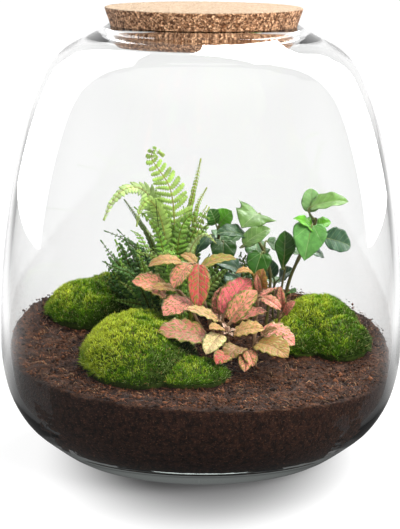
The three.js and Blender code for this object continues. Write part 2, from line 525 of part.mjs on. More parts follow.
place('glass_jar', glassJar(), finish(0xdfe8e6, 0.03, { transparent: true, opacity: 0.3 }));
place('cork_lid', corkLid(), finish(0xc59a6c, 0.85));
Object.entries(CUSHIONS).forEach(([name, cushion]) => {
  place(name, mossCushion(cushion), finish(0x6f8f22, 0.95));
});
Object.entries(FRONDS).forEach(([name, shape]) => {
  const colour = name.includes('dark') ? 0x35662a : 0x86b856;
  place(`fern_frond_${name}`, frond(shape), finish(colour, 0.6));
});
Object.entries(IVIES).forEach(([name, stem]) => {
  place(name, leafyStem(stem), finish(0x4f8f45, 0.45));
});
Object.entries(FITTONIA).forEach(([name, stem]) => {
  place(name, leafyStem({ ...FITTONIA_MANNER, ...stem }), finish(0xdc7d73, 0.55));
});
place('soil', soilBed(pegs), finish(0x3f2a20, 1));

export default terrarium;
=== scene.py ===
import math

import bpy
import numpy as np
from mathutils import Matrix, Vector, noise


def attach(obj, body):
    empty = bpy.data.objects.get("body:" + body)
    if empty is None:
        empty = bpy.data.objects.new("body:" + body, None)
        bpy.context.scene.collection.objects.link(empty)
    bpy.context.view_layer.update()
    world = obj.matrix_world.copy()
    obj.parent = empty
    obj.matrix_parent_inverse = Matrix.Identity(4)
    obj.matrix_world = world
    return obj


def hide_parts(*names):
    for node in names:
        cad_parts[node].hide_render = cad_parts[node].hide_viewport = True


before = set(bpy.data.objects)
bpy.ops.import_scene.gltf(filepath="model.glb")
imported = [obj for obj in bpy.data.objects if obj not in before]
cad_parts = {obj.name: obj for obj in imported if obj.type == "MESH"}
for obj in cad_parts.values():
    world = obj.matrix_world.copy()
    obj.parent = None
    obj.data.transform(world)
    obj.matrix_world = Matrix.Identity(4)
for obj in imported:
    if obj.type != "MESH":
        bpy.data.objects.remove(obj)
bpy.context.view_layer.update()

# The glass jar: one piece of clear blown glass with a wide belly and a narrow mouth. Its wall is
# about 4.5 mm thick, its flat base 10 mm, and its lip is rounded over by the flame.
MM = 0.001
GLASS_SIDES, WALL_STEPS = 160, 130
BASE_TOP = 11.5
BASE_DIMPLE = [(30, 10.8), (0, 10.6)]
WALL_OUTER = [(75, 0), (85, 3), (98, 12), (109.5, 22), (119, 38), (124.4, 60), (125, 84),
              (123, 124), (117, 168), (109.2, 202), (99.4, 230), (92, 244.6), (83.6, 253.2),
              (73, 259.2), (60.8, 265.6)]
MOUTH = [(59.2, 267), (57.2, 266.8)]
WALL_INNER = [(56.4, 262.4), (70.6, 255.6), (80, 250), (88, 241.6), (95, 228.6), (104.8, 200.4),
              (112.6, 166.6), (118.5, 123.4), (120.5, 84), (119.6, 60), (114, 38), (103.6, 23.8),
              (88, 14), (60, 11.5)]


class Line:
    """A smooth line through points, read by the share of its length."""

    def __init__(self, points, fineness=16):
        p = np.array(points, float)
        p = np.vstack([2 * p[0] - p[1], p, 2 * p[-1] - p[-2]])
        made = []
        for a, b, c, d in zip(p, p[1:], p[2:], p[3:]):
            before, here, after = (max(np.linalg.norm(v) ** 0.5, 1e-4) for v in (b - a, c - b, d - c))
            leave = ((b - a) / before - (c - a) / (before + here) + (c - b) / here) * here
            reach = ((c - b) / here - (d - b) / (here + after) + (d - c) / after) * here
            for w in np.arange(fineness) / fineness:
                made.append(b + leave * w + (3 * (c - b) - 2 * leave - reach) * w**2
                            + (2 * (b - c) + leave + reach) * w**3)
        made.append(p[-2])
        self.points = np.array(made)
        self.runs = np.concatenate([[0], np.cumsum(np.linalg.norm(np.diff(self.points, axis=0), axis=1))])
        self.length = self.runs[-1]

    def at(self, share):
        s = np.clip(share, 0, 1) * self.length
        return np.stack([np.interp(s, self.runs, column) for column in self.points.T], -1)

    def heading(self, share):
        share = np.clip(share, 0.01, 0.99)
        step = self.at(share + 0.01) - self.at(share - 0.01)
        return step / np.linalg.norm(step, axis=-1, keepdims=True)


def skinned(low, rings, high):
    """A closed skin over stacked rings of points, from the middle of its underside over its
    outside to the other end: its points and its faces."""
    count, around = rings.shape[:2]
    at = 1 + np.arange(count * around).reshape(count, around)
    beside = np.roll(at, -1, axis=1)
    walls = np.stack([at[:-1], beside[:-1], beside[1:], at[1:]], -1).reshape(-1, 4)
    last = 1 + count * around
    ends = [(0, b, a) for a, b in zip(at[0], beside[0])]
    ends += [(a, b, last) for a, b in zip(at[-1], beside[-1])]
    return np.vstack([low, rings.reshape(-1, 3), high]), walls.tolist() + ends


def turned(profile, sides):
    """The closed skin of a profile of radius and height turned round the vertical axis."""
    turns = 2 * np.pi * np.arange(sides) / sides
    rings = np.array([[(r * math.sin(a), -r * math.cos(a), z) for a in turns] for r, z in profile[1:-1]])
    return skinned((0, 0, profile[0][1]), rings, (0, 0, profile[-1][1]))


def piece(name, points, faces, finish, slot, stands_for=()):
    """Puts a piece in the frame, with its finish and the nodes that it stands for."""
    mesh = bpy.data.meshes.new(name)
    mesh.from_pydata((np.asarray(points) * MM).tolist(), [], faces)
    mesh.shade_smooth()
    mesh.materials.append(finish)
    made = bpy.data.objects.new(name, mesh)
    bpy.context.scene.collection.objects.link(made)
    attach(made, "root")
    if stands_for:
        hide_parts(*stands_for)
    return made


class Finish:
    """The look of a material or of the room in the making: each call adds one node, fed by
    numbers or by earlier nodes."""

    def __init__(self, name, family=bpy.data.materials):
        self.made = family.new(name)
        self.made.use_nodes = True
        self.tree = self.made.node_tree
        self.tree.nodes.clear()

    def add(self, kind, feed, pick=0, **settings):
        made = self.tree.nodes.new("ShaderNode" + kind)
        for name, value in settings.items():
            setattr(made, name, value)
        for key, value in feed.items():
            if isinstance(value, bpy.types.NodeSocket):
                self.tree.links.new(value, made.inputs[key])
            else:
                made.inputs[key].default_value = value
        return made.outputs[pick]

    def math(self, operation, a, b=0.0):
        return self.add("Math", {0: a, 1: b}, operation=operation)

    def blend(self, share, a, b, how="MIX"):
        """One colour turning into another with the share, each a node's or three numbers."""
        first, second = (c if isinstance(c, bpy.types.NodeSocket) else (*c, 1) for c in (a, b))
        return self.add("Mix", {0: share, 6: first, 7: second}, 2, data_type="RGBA", blend_type=how)

    def dappled(self, colour, light):
        """A colour made lighter and darker by a value round 1."""
        grey = self.add("CombineColor", {0: light, 1: light, 2: light})
        return self.blend(1.0, colour, grey, "MULTIPLY")

    def between(self, value, low, high, to_low=0.0, to_high=1.0):
        """A soft step: one value up to the low mark, another from the high mark on."""
        return self.add("MapRange", {0: value, 1: low, 2: high, 3: to_low, 4: to_high},
                        interpolation_type="SMOOTHSTEP")

    def parts(self, vector):
        """The three parts of a vector, each an output of its own."""
        split = self.tree.nodes.new("ShaderNodeSeparateXYZ")
        self.tree.links.new(vector, split.inputs[0])
        return split.outputs

    def noise(self, scale, where, detail=4.0):
        return self.add("TexNoise", {"Vector": where, "Scale": scale, "Detail": detail})

    def bump(self, height, distance, strength=1.0):
        return self.add("Bump", {"Height": height, "Distance": distance, "Strength": strength})

    def ray(self, what):
        """What kind a ray of light is, or how many skins of glass it has crossed."""
        return self.add("LightPath", {}, what)

    def note(self, name, what="Color"):
        """A value that was written to each point of a piece."""
        return self.add("Attribute", {}, what, attribute_name=name)

    def shown(self, shader, kind="Material"):
        out = self.tree.nodes.new("ShaderNodeOutput" + kind)
        self.tree.links.new(shader, out.inputs["Surface"])
        return self.made


def clear_glass():
    """Clear glass with a faint ripple, green where the base is thick. Light for shadows and for
    what lies inside passes it unbent."""
    glass = Finish("clear_glass")
    where = glass.add("TexCoord", {}, "Object")
    ripple = glass.bump(glass.noise(9.0, where, 1.0), 0.0006, 0.25)
    thin = glass.between(glass.parts(where)[2], BASE_TOP * MM, (BASE_TOP + 12) * MM)
    tint = glass.blend(thin, (0.79, 0.93, 0.87), (0.99, 0.992, 0.99))
    body = glass.add("BsdfPrincipled", {"Base Color": tint, "Roughness": 0.0,
                                        "IOR": 1.48, "Transmission Weight": 1.0, "Normal": ripple})
    clear = glass.add("BsdfTransparent", {"Color": (0.97, 0.97, 0.97, 1)})
    unbent = glass.math("MAXIMUM", glass.ray("Is Shadow Ray"), glass.ray("Is Diffuse Ray"))
    return glass.shown(glass.add("MixShader", {0: unbent, 1: body, 2: clear}))


wall = Line(WALL_OUTER + MOUTH + WALL_INNER).at(np.linspace(0, 1, WALL_STEPS))
wall[:, 1] = np.maximum(wall[:, 1], 0)
jar_outline = [(0, 0), (30, 0), (60, 0), *wall, *BASE_DIMPLE]
piece("jar", *turned(jar_outline, GLASS_SIDES), clear_glass(), "glass", ["glass_jar"])

# The soil: moist dark potting mix of peat, fine bark and coir, tipped in and pressed down by hand.
# It fills the belly of the jar up to a surface that rises to the back and a little to the left.
# In front it is pressed against the glass and looks wet there; elsewhere a thin gap is left.
SOIL_LEVEL, SOIL_RISE, SOIL_RUN, SOIL_TILT = 68, 10, 60, -0.035
SOIL_GAP, SOIL_PRESS = 0.4, 0.85
SOIL_UNDERSIDE, SOIL_FOOT_RADIUS, SOIL_FOOT, SOIL_SIDE_FOOT = 11.2, 60, 12.1, 14.6
SOIL_TURNS, SOIL_RINGS, SOIL_SIDE_RINGS = 250, 62, 20
BANK_HEIGHT, BANK_START, BANK_WIDTH = 4.2, 100, 17
FIBRES, CRUMBS, BANKED_CRUMBS = 5200, 4400, 1900
LITTER_DARK = np.array([0.010, 0.0045, 0.0025])
LITTER_RED = np.array([0.165, 0.062, 0.026])
LITTER_STRAW = np.array([0.33, 0.20, 0.105])
# Where each moss cushion lies, and its rounded lobes: middle, half widths and height
CUSHIONS = {
    "left": ((-68, 45), [(-74, 39, 26, 27, 19), (-58, 64, 25, 22, 18)]),
    "front": ((-34, -37), [(-38, -37, 33, 49, 25), (-10, -60, 26, 21, 9.5)]),
    "right": ((76, 20), [(77, 24, 24, 34, 20), (86, 3, 20, 25, 16.5), (62, 6, 18, 24, 13.5)]),
}
inside = Line(WALL_INNER).points[::-1]


def soil_height(x, y):
    return SOIL_LEVEL + SOIL_RISE * np.tanh(y / SOIL_RUN) + SOIL_TILT * x


def inner_radius(z):
    return np.interp(z, inside[:, 1], inside[:, 0])


def bank(x, y):
    """How far the soil is banked up against the glass: at the back and sides, not in front."""
    out = np.clip((np.hypot(x, y) - BANK_START) / BANK_WIDTH, 0, 1) ** 2
    return BANK_HEIGHT * out * np.clip(0.45 + y / 80, 0, 1)


def grain(points, size, seed=0.0):
    """Smooth noise from -1 to 1 at each point, of a size in millimetres."""
    return np.array([noise.noise(Vector(p) / size + Vector((seed, seed, seed)))
                     for p in np.asarray(points).reshape(-1, 3)])


def swell(lobes, x, y):
    """Height of a moss cushion over the soil, before its rim: the highest of its rounded lobes."""
    return np.max([h * np.sqrt(np.maximum(0, 1 - ((x - lx) / rx) ** 2 - ((y - ly) / ry) ** 2))
                   for lx, ly, rx, ry, h in lobes], axis=0)


def soil_bed():
    """The skin of the soil: its flat foot, its side along the glass, and its cloddy surface."""
    turns = 2 * np.pi * np.arange(SOIL_TURNS) / SOIL_TURNS
    out = np.stack([np.sin(turns), -np.cos(turns)], -1)
    rim = np.full(SOIL_TURNS, 119.0)
    # The rim's radius hangs on its height and its height on its radius: four passes settle both
    for _ in range(4):
        rim = inner_radius(soil_height(*(out * rim[:, None]).T)) - SOIL_GAP
    rings = [np.column_stack([out * SOIL_FOOT_RADIUS, np.full(SOIL_TURNS, SOIL_FOOT)])]
    rim_spots = out * rim[:, None]
    edge = soil_height(*rim_spots.T) + bank(*rim_spots.T)
    contact = np.column_stack([rim_spots, edge])
    edge = edge + 1.7 * grain(contact, 11.0, 4.0) + 1.0 * grain(contact, 4.0, 6.0)
    for part in np.linspace(0, 1, SOIL_SIDE_RINGS) ** 0.8:
        z = SOIL_SIDE_FOOT + (edge - SOIL_SIDE_FOOT) * part
        ring = np.column_stack([out * (inner_radius(z) - SOIL_GAP)[:, None], z])
        dents = np.abs(grain(ring, 3.0)) + 0.6 * np.abs(grain(ring, 7.0, 5.0))
        touching = np.clip(-2.2 * out[:, 1] - 0.9 + 0.4 * grain(ring, 12.0, 2.0), 0, 1)
        ring[:, :2] += out * (SOIL_PRESS * touching - 0.2 * dents)[:, None]
        rings.append(ring)
    for part in np.linspace(1, 0, SOIL_RINGS, endpoint=False)[1:]:
        x, y = (out * (rim * part)[:, None]).T
        ring = np.column_stack([x, y, soil_height(x, y) + bank(x, y)])
        ring[:, 2] += (1.4 * grain(ring, 13.0) - 2.6 * np.abs(grain(ring, 5.5, 3.0)) + 0.6
                       - 2.0 * np.abs(grain(ring, 2.6, 8.0)) + 0.5)
        rings.append(ring)
    return skinned((0, 0, SOIL_UNDERSIDE), np.array(rings), (0, 0, float(soil_height(0, 0))))


def potting_mix():
    """Near black and moist, with red brown fibres, and paler brown on faces that look up: a drier crust
    there, and painted light on the tops of the clods.
    """
    mix = Finish("potting_mix")
    where = mix.add("TexCoord", {}, "Object")
    strands = mix.add("Mapping", {"Vector": where, "Scale": (1.0, 0.35, 1.6),
                                  "Rotation": (0.4, 0.2, 0.9)})
    clods = mix.between(mix.noise(420.0, where), 0.3, 0.7)
    colour = mix.blend(clods, (0.0035, 0.0016, 0.001), (0.0235, 0.0086, 0.0042))
    # Painted light and drier crust: a paler brown, in patches, on faces that look up
    upward = mix.parts(mix.add("NewGeometry", {}, "Normal"))[2]
    dry_and_lit_top = mix.math("MULTIPLY", mix.between(upward, 0.2, 0.75),
                   mix.between(mix.noise(75.0, where, 3.0), 0.43, 0.60, 0.05, 1.0))
    lit_crust = mix.blend(mix.between(mix.noise(650.0, where), 0.35, 0.65),
                      (0.006, 0.0025, 0.0012), (0.082, 0.033, 0.0145))
    colour = mix.blend(dry_and_lit_top, colour, lit_crust)
    fibres = mix.between(mix.noise(900.0, strands, 3.0), 0.58, 0.70)
    colour = mix.blend(mix.math("MULTIPLY", fibres, 0.7), colour, (0.105, 0.045, 0.023))
    crumbs = mix.math("ADD", mix.noise(700.0, where), mix.noise(180.0, where))
    return mix.shown(mix.add("BsdfPrincipled", {"Base Color": colour, "Roughness": 0.9,
                                                "Specular IOR Level": 0.25,
                                                "Normal": mix.bump(crumbs, 0.0012)}))


def strewn(count, seed):
    """Places on the soil, evenly strewn and not under the moss."""
    draws = np.random.default_rng(seed)
    r, a = 117.5 * np.sqrt(draws.random(count * 2)), 2 * np.pi * draws.random(count * 2)
    x, y = r * np.cos(a), r * np.sin(a)
    free = np.ones(len(x), bool)
    for _, lobes in CUSHIONS.values():
        free &= swell(lobes, x, y) < 4
    x, y = x[free][:count], y[free][:count]
    return np.column_stack([x, y, soil_height(x, y) + bank(x, y)])


def banked(count, seed):
    """Places against the glass, where crumbs of soil stuck as the jar was filled: more behind."""
    draws = np.random.default_rng(seed)
    turn = draws.uniform(0.35, 2 * np.pi - 0.35, count)
    x, y = np.sin(turn), -np.cos(turn)
    above_soil = draws.gamma(1.2, 1.1, count).clip(0, 5) * (0.6 + 0.6 * np.clip(y + 0.4, 0, 1))
    z = soil_height(116 * x, 116 * y) + bank(117 * x, 117 * y) + above_soil
    r = inner_radius(z) - draws.uniform(0.6, 5.0, count)
    return np.column_stack([r * x, r * y, z])


def loose_fibres(draws):
    """Curved three-sided fibres that lie on the soil: points, faces and colours."""
    places = strewn(FIBRES, 11)
    n = len(places)
    heading = draws.random(n) * 2 * np.pi
    length = draws.gamma(2.4, 1.5, n).clip(1.6, 11)
    turn = draws.normal(0, 0.5, n)
    thick = draws.uniform(0.08, 0.25, n)
    steps = np.linspace(-0.5, 0.5, 3)
    bend = heading[:, None] + turn[:, None] * steps
    x = places[:, :1] + length[:, None] * steps * np.cos(bend)
    y = places[:, 1:2] + length[:, None] * steps * np.sin(bend)
    hump = draws.uniform(0.3, 1.6, n)[:, None] * (1 - (2 * steps) ** 2)
    hump = hump + draws.normal(0, 0.5, n)[:, None] * steps
    centre = np.stack([x, y, soil_height(x, y) + bank(x, y) + 0.5 + hump], -1)
    side = np.stack([-np.sin(bend), np.cos(bend), np.zeros_like(bend)], -1)
    up = np.array([0, 0, 1])
    taper = (thick[:, None] * np.array([0.5, 1.1, 0.4]))[..., None]
    corners = [centre + side * (taper * math.cos(a)) + up * (taper * math.sin(a)) for a in (0.5, 2.6, 4.7)]
    fibre = [(3 * k + i, 3 * k + (i + 1) % 3, 3 * k + 3 + (i + 1) % 3, 3 * k + 3 + i)
             for k in range(2) for i in range(3)] + [(2, 1, 0), (6, 7, 8)]
    faces = [tuple(9 * f + i for i in face) for f in range(n) for face in fibre]
    share = draws.random((n, 1))
    brown = LITTER_DARK + (LITTER_RED - LITTER_DARK) * draws.random((n, 1)) ** 2
    reddish = LITTER_RED * draws.uniform(0.7, 1.7, (n, 1))
    pale = LITTER_STRAW * draws.uniform(0.6, 1.3, (n, 1))
    tone = np.where(share < 0.6, brown, np.where(share < 0.92, reddish, pale))
    tone *= np.clip(1 + 0.95 * grain(places, 9.0, 4.0), 0.1, 2)[:, None]
    return np.stack(corners, 2).reshape(-1, 3), faces, np.repeat(tone, 9, axis=0)


def loose_crumbs(draws):
    """Crumbs of eight sides on the soil and against the glass: points, faces and colours."""
    places = np.vstack([strewn(CRUMBS, 12), banked(BANKED_CRUMBS, 13)])
    n = len(places)
    ball = np.array([(1, 0, 0), (0, 1, 0), (-1, 0, 0), (0, -1, 0), (0, 0, 1), (0, 0, -1)], float)
    size = draws.gamma(1.7, 0.45, n).clip(0.3, 2.6) * np.where(np.arange(n) < CRUMBS, 1, 0.6)
    size = size[:, None, None] * draws.uniform(0.5, 1.2, (n, 6, 1))
    spin = draws.random(n) * 2 * np.pi
    turned_ball = np.stack([ball[:, 0] * np.cos(spin)[:, None] - ball[:, 1] * np.sin(spin)[:, None],
                            ball[:, 0] * np.sin(spin)[:, None] + ball[:, 1] * np.cos(spin)[:, None],
                            np.broadcast_to(ball[:, 2] * 0.7, (n, 6))], -1)
    clods = places[:, None, :] + turned_ball * size + np.array([0, 0, 0.5])
    eight = [(0, 1, 4), (1, 2, 4), (2, 3, 4), (3, 0, 4), (1, 0, 5), (2, 1, 5), (3, 2, 5), (0, 3, 5)]
    faces = [tuple(6 * f + i for i in face) for f in range(n) for face in eight]
    shade = LITTER_DARK * 0.6 + (LITTER_RED * 1.1 - LITTER_DARK) * draws.random((n, 1)) ** 2.6
    return clods.reshape(-1, 3), faces, np.repeat(shade, 6, axis=0)


def tinted(made, name, colours):
    """Writes a colour, and a fourth value where there is one, to each point of a piece."""
    values = np.ones((len(colours), 4), np.float32)
    values[:, :colours.shape[1]] = colours
    made.data.attributes.new(name, "FLOAT_COLOR", "POINT").data.foreach_set("color", values.ravel())


def loose_litter():
    """The dull finish of fibres and crumbs, each with its own tint."""
    litter = Finish("loose_fibre")
    tint = litter.note("tint")
    where = litter.add("TexCoord", {}, "Object")
    streaks = litter.between(litter.noise(1500.0, where, 2.0), 0.3, 0.7, 0.65, 1.25)
    return litter.shown(litter.add("BsdfPrincipled", {"Base Color": litter.dappled(tint, streaks),
                                                      "Roughness": 0.85, "Specular IOR Level": 0.25}))


piece("soil_bed", *soil_bed(), potting_mix(), "soil", ["soil"])
litter_draws = np.random.default_rng(4)
fibre_points, fibre_faces, fibre_tints = loose_fibres(litter_draws)
crumb_points, crumb_faces, crumb_tints = loose_crumbs(litter_draws)
litter_faces = fibre_faces + [tuple(len(fibre_points) + i for i in face) for face in crumb_faces]
litter_points = np.vstack([fibre_points, crumb_points])
soil_litter = piece("soil_litter", litter_points, litter_faces, loose_litter(), "soil")
tinted(soil_litter, "tint", np.vstack([fibre_tints, crumb_tints]))

# The moss: living cushion moss in three pads, laid on the soil and pressed at the edges. Each is
# a dense mass of fine upright shoots with painted light and shade: bright at their tips, dark at their feet
# and on the pad between them.
MOSS_SEAT, MOSS_RIM = 0.6, 1.4
MOSS_TURNS, MOSS_RINGS = 120, 36
# How many shoots a cushion has, and how far its green is held back from the painted-lit lime of its young
# tips
MOSS_GROWTH = {"left": (14500, 0.43), "front": (17500, 0.20), "right": (14000, 0.34)}
# The deep green is painted shade on low shoots and the lime is painted light on high ones, over the moss's
# own greens
MOSS_DEEP_SHADE = np.array([0.024, 0.055, 0.001])
MOSS_LEAFY = np.array([0.085, 0.21, 0.002])
MOSS_LIT_LIME = np.array([0.43, 0.53, 0.035])
MOSS_DRY = np.array([0.24, 0.15, 0.05])
MOSS_PALE = np.array([0.22, 0.26, 0.1])
# The pad's dark green is painted shade between the shoots
MOSS_PAD_SHADE = np.array([0.045, 0.075, 0.01])


def cushion_skin(centre, lobes, x, y):
    """Points on the top of a cushion, lumpy all over."""
    swollen = swell(lobes, x, y)
    z = soil_height(x, y) + MOSS_SEAT + MOSS_RIM + swollen
    flat = np.column_stack([x, y, np.zeros(x.size)])
    lumps = 1.5 * grain(flat, 9.0, centre[0]) + 0.8 * grain(flat, 4.0, centre[1])
    return np.stack([x, y, z + (lumps - 0.6) * np.minimum(1, swollen / 6)], -1)


def unit(v):
    return v / np.linalg.norm(v, axis=-1, keepdims=True)


def cushion_reach(centre, lobes, turns):
    """How far a cushion runs out from its middle, in each direction."""
    reach = np.full(MOSS_TURNS, 0.5)
    growing = np.ones(MOSS_TURNS, bool)
    while growing.any():
        x = centre[0] + (reach + 0.25) * np.cos(turns)
        y = centre[1] + (reach + 0.25) * np.sin(turns)
        growing = swell(lobes, x, y) > 0
        reach[growing] += 0.25
    return reach


def moss_shoots(base, normal, angle, part, seed, draws):
    """Six-sided shoots in leaning tufts, longer and falling outwards at the cushion's hem."""
    count = len(base)
    tufts = np.stack([grain(base, 3.6, seed + offset) for offset in (0.0, 31.0, 62.0)], -1)
    lean = normal * 1.1 + np.array([0, 0, 0.5]) + 1.5 * tufts + draws.normal(0, 0.3, (count, 3))
    clump = grain(base, 4.2, seed + 90.0)[:, None]
    hem = np.clip((part - 0.9) / 0.1, 0, 1)[:, None]
    outward = np.column_stack([np.cos(angle), np.sin(angle), np.full(count, 0.2)])
    lean = unit(lean + 0.9 * hem * outward)
    size = draws.uniform(1.6, 2.9, count)[:, None]
    size = size * (1 + 0.5 * clump + 0.7 * hem * draws.random((count, 1)))
    side = unit(np.cross(lean, draws.normal(0, 1, (count, 3))))
    other = np.cross(lean, side)
    girth = draws.uniform(0.18, 0.34, count)[:, None]
    bend = draws.normal(0, 0.35, (count, 1)) * side * size
    trio = [(math.cos(a), math.sin(a)) for a in (0, 2.1, 4.2)]
    middle = [base + lean * size * 0.4 + side * girth * c + other * girth * s for c, s in trio]
    return np.stack([base - lean * 0.8, *middle, base + lean * size + bend], 1), clump


def moss_tones(base, normal, clump, fresh, seed, draws):
    """The colour of each shoot, with painted light and shade: lime where it stands high and faces up and to
    the left, deep green lower down and on the far side, in patches of the moss's own tone.
    """
    height = base[:, 2] - soil_height(base[:, 0], base[:, 1])
    # Painted light: shoots that stand high and face up and to the left come out lime, the rest deep green
    facing = np.clip(normal @ (-0.6, -0.1, 0.62), -0.2, 1)
    light = 0.07 + 0.25 * np.clip(height / 20, 0, 1) + 0.80 * facing
    patch = (grain(base, 16.0, seed) * 0.6 + grain(base, 6.0, seed) * 0.5)[:, None] + 0.55 * clump
    light_and_tone = 1.3 * light[:, None] - fresh + patch * 0.5 + draws.normal(0, 0.13, (len(base), 1))
    light_and_tone = np.clip(light_and_tone, 0, 1.2)
    shaded = MOSS_DEEP_SHADE + (MOSS_LEAFY - MOSS_DEEP_SHADE) * light_and_tone * 2
    lit = MOSS_LEAFY + (MOSS_LIT_LIME - MOSS_LEAFY) * (light_and_tone - 0.5) * 2
    tone = np.where(light_and_tone < 0.5, shaded, lit)
    odd = draws.random((len(base), 1))
    return np.where(odd < 0.03, MOSS_DRY, np.where(odd > 0.9, tone * 0.6 + MOSS_PALE, tone))


def cushion(name, centre, lobes, count, fresh, seed):
    """One moss cushion: a lumpy pad, and its shoots set into it."""
    draws = np.random.default_rng(seed)
    turns = 2 * np.pi * np.arange(MOSS_TURNS) / MOSS_TURNS
    reach = cushion_reach(centre, lobes, turns)

    def spot(part, angle):
        r = part * np.interp(angle, turns, reach, period=2 * np.pi)
        return centre[0] + r * np.cos(angle), centre[1] + r * np.sin(angle)

    parts = np.sin(np.linspace(1, 0, MOSS_RINGS, endpoint=False) * np.pi / 2)
    top = [cushion_skin(centre, lobes, *spot(part, turns)) for part in parts]
    x, y = spot(0.99, turns)
    underside = np.column_stack([x, y, soil_height(x, y) + 0.2])
    peak = cushion_skin(centre, lobes, *np.array(centre, float)[:, None])[0]
    middle = (*centre, float(soil_height(*centre)) + 0.2)
    points, faces = skinned(middle, np.array([underside, *top]), peak)

    part = np.sin(draws.random(count) ** 0.62 * np.pi / 2)
    angle = draws.random(count) * 2 * np.pi
    x, y = spot(part, angle)
    base = cushion_skin(centre, lobes, x, y)
    east = cushion_skin(centre, lobes, x + 0.6, y) - base
    north = cushion_skin(centre, lobes, x, y + 0.6) - base
    normal = unit(np.cross(east, north))
    shoots, clump = moss_shoots(base, normal, angle, part, seed, draws)
    six = [(0, 1 + (i + 1) % 3, 1 + i) for i in range(3)]
    six += [(1 + i, 1 + (i + 1) % 3, 4) for i in range(3)]
    faces += [tuple(len(points) + 5 * f + i for i in face) for f in range(count) for face in six]
    tone = moss_tones(base, normal, clump, fresh, seed, draws)
    # Painted shade and light along each shoot: dark at its foot down in the cushion, lighter at its tip
    shoot_tint_and_shade = tone[:, None, :] * np.array([0.25, 0.8, 0.8, 0.8, 1.25])[None, :, None]
    pad_shade_tint = np.tile(MOSS_PAD_SHADE, (len(points), 1))
    made = piece("moss_" + name, np.vstack([points, shoots.reshape(-1, 3)]), faces, moss_green, "moss",
                 ["moss_cushion_" + name])
    tinted(made, "tint", np.vstack([pad_shade_tint, shoot_tint_and_shade.reshape(-1, 3)]))


def living_moss():
    """Dull soft green that lets a little light through."""
    moss = Finish("living_moss")
    tint = moss.note("tint")
    where = moss.add("TexCoord", {}, "Object")
    flecks = moss.between(moss.noise(1100.0, where, 2.0), 0.3, 0.7, 0.7, 1.2)
    colour = moss.dappled(tint, flecks)
    body = moss.add("BsdfPrincipled", {"Base Color": colour, "Roughness": 0.75, "Specular IOR Level": 0.08})
    through = moss.add("BsdfTranslucent", {"Color": colour})
    return moss.shown(moss.add("MixShader", {0: 0.2, 1: body, 2: through}))


moss_green = living_moss()
for seed, (name, (centre, lobes)) in enumerate(CUSHIONS.items()):
    cushion(name, centre, lobes, *MOSS_GROWTH[name], 20 + seed)

# The fern: fronds of several ages from one crown, each a wiry rib standing in the soil with cut
# leaflets on both sides. The young ones are thin and lime green, the old ones small and dark.
ROOT_DEPTH, COLLAR = 14, 3
FERN_GREENS = {"lime": (0.48, 0.68, 0.16), "pale": (0.54, 0.70, 0.28), "leaf": (0.22, 0.44, 0.045),
               "blade": (0.36, 0.52, 0.06), "dark": (0.045, 0.165, 0.015),
               "olive": (0.09, 0.19, 0.02)}
# How many finer leaflets stand for one leaflet of the solids
FERN_FINENESS = {"cut": 2.0, "toothed": 2.2, "sword": 4.0, "small": 2.2}
# How wide each kind of leaflet is, from 0 to 1, at shares of its length
LEAFLET_FORMS = {
    "cut": ([0, 0.12, 0.5, 0.8, 0.95, 1], [0.6, 0.9, 1, 0.85, 0.5, 0.12]),
    "toothed": ([0, 0.3, 0.6, 0.85, 1], [1, 0.95, 0.7, 0.36, 0.05]),
    "sword": ([0, 0.3, 0.6, 0.85, 1], [1, 0.95, 0.75, 0.42, 0.05]),
    "small": ([0, 0.2, 0.5, 0.8, 0.95, 1], [0.2, 0.75, 1, 0.8, 0.45, 0.12]),
}
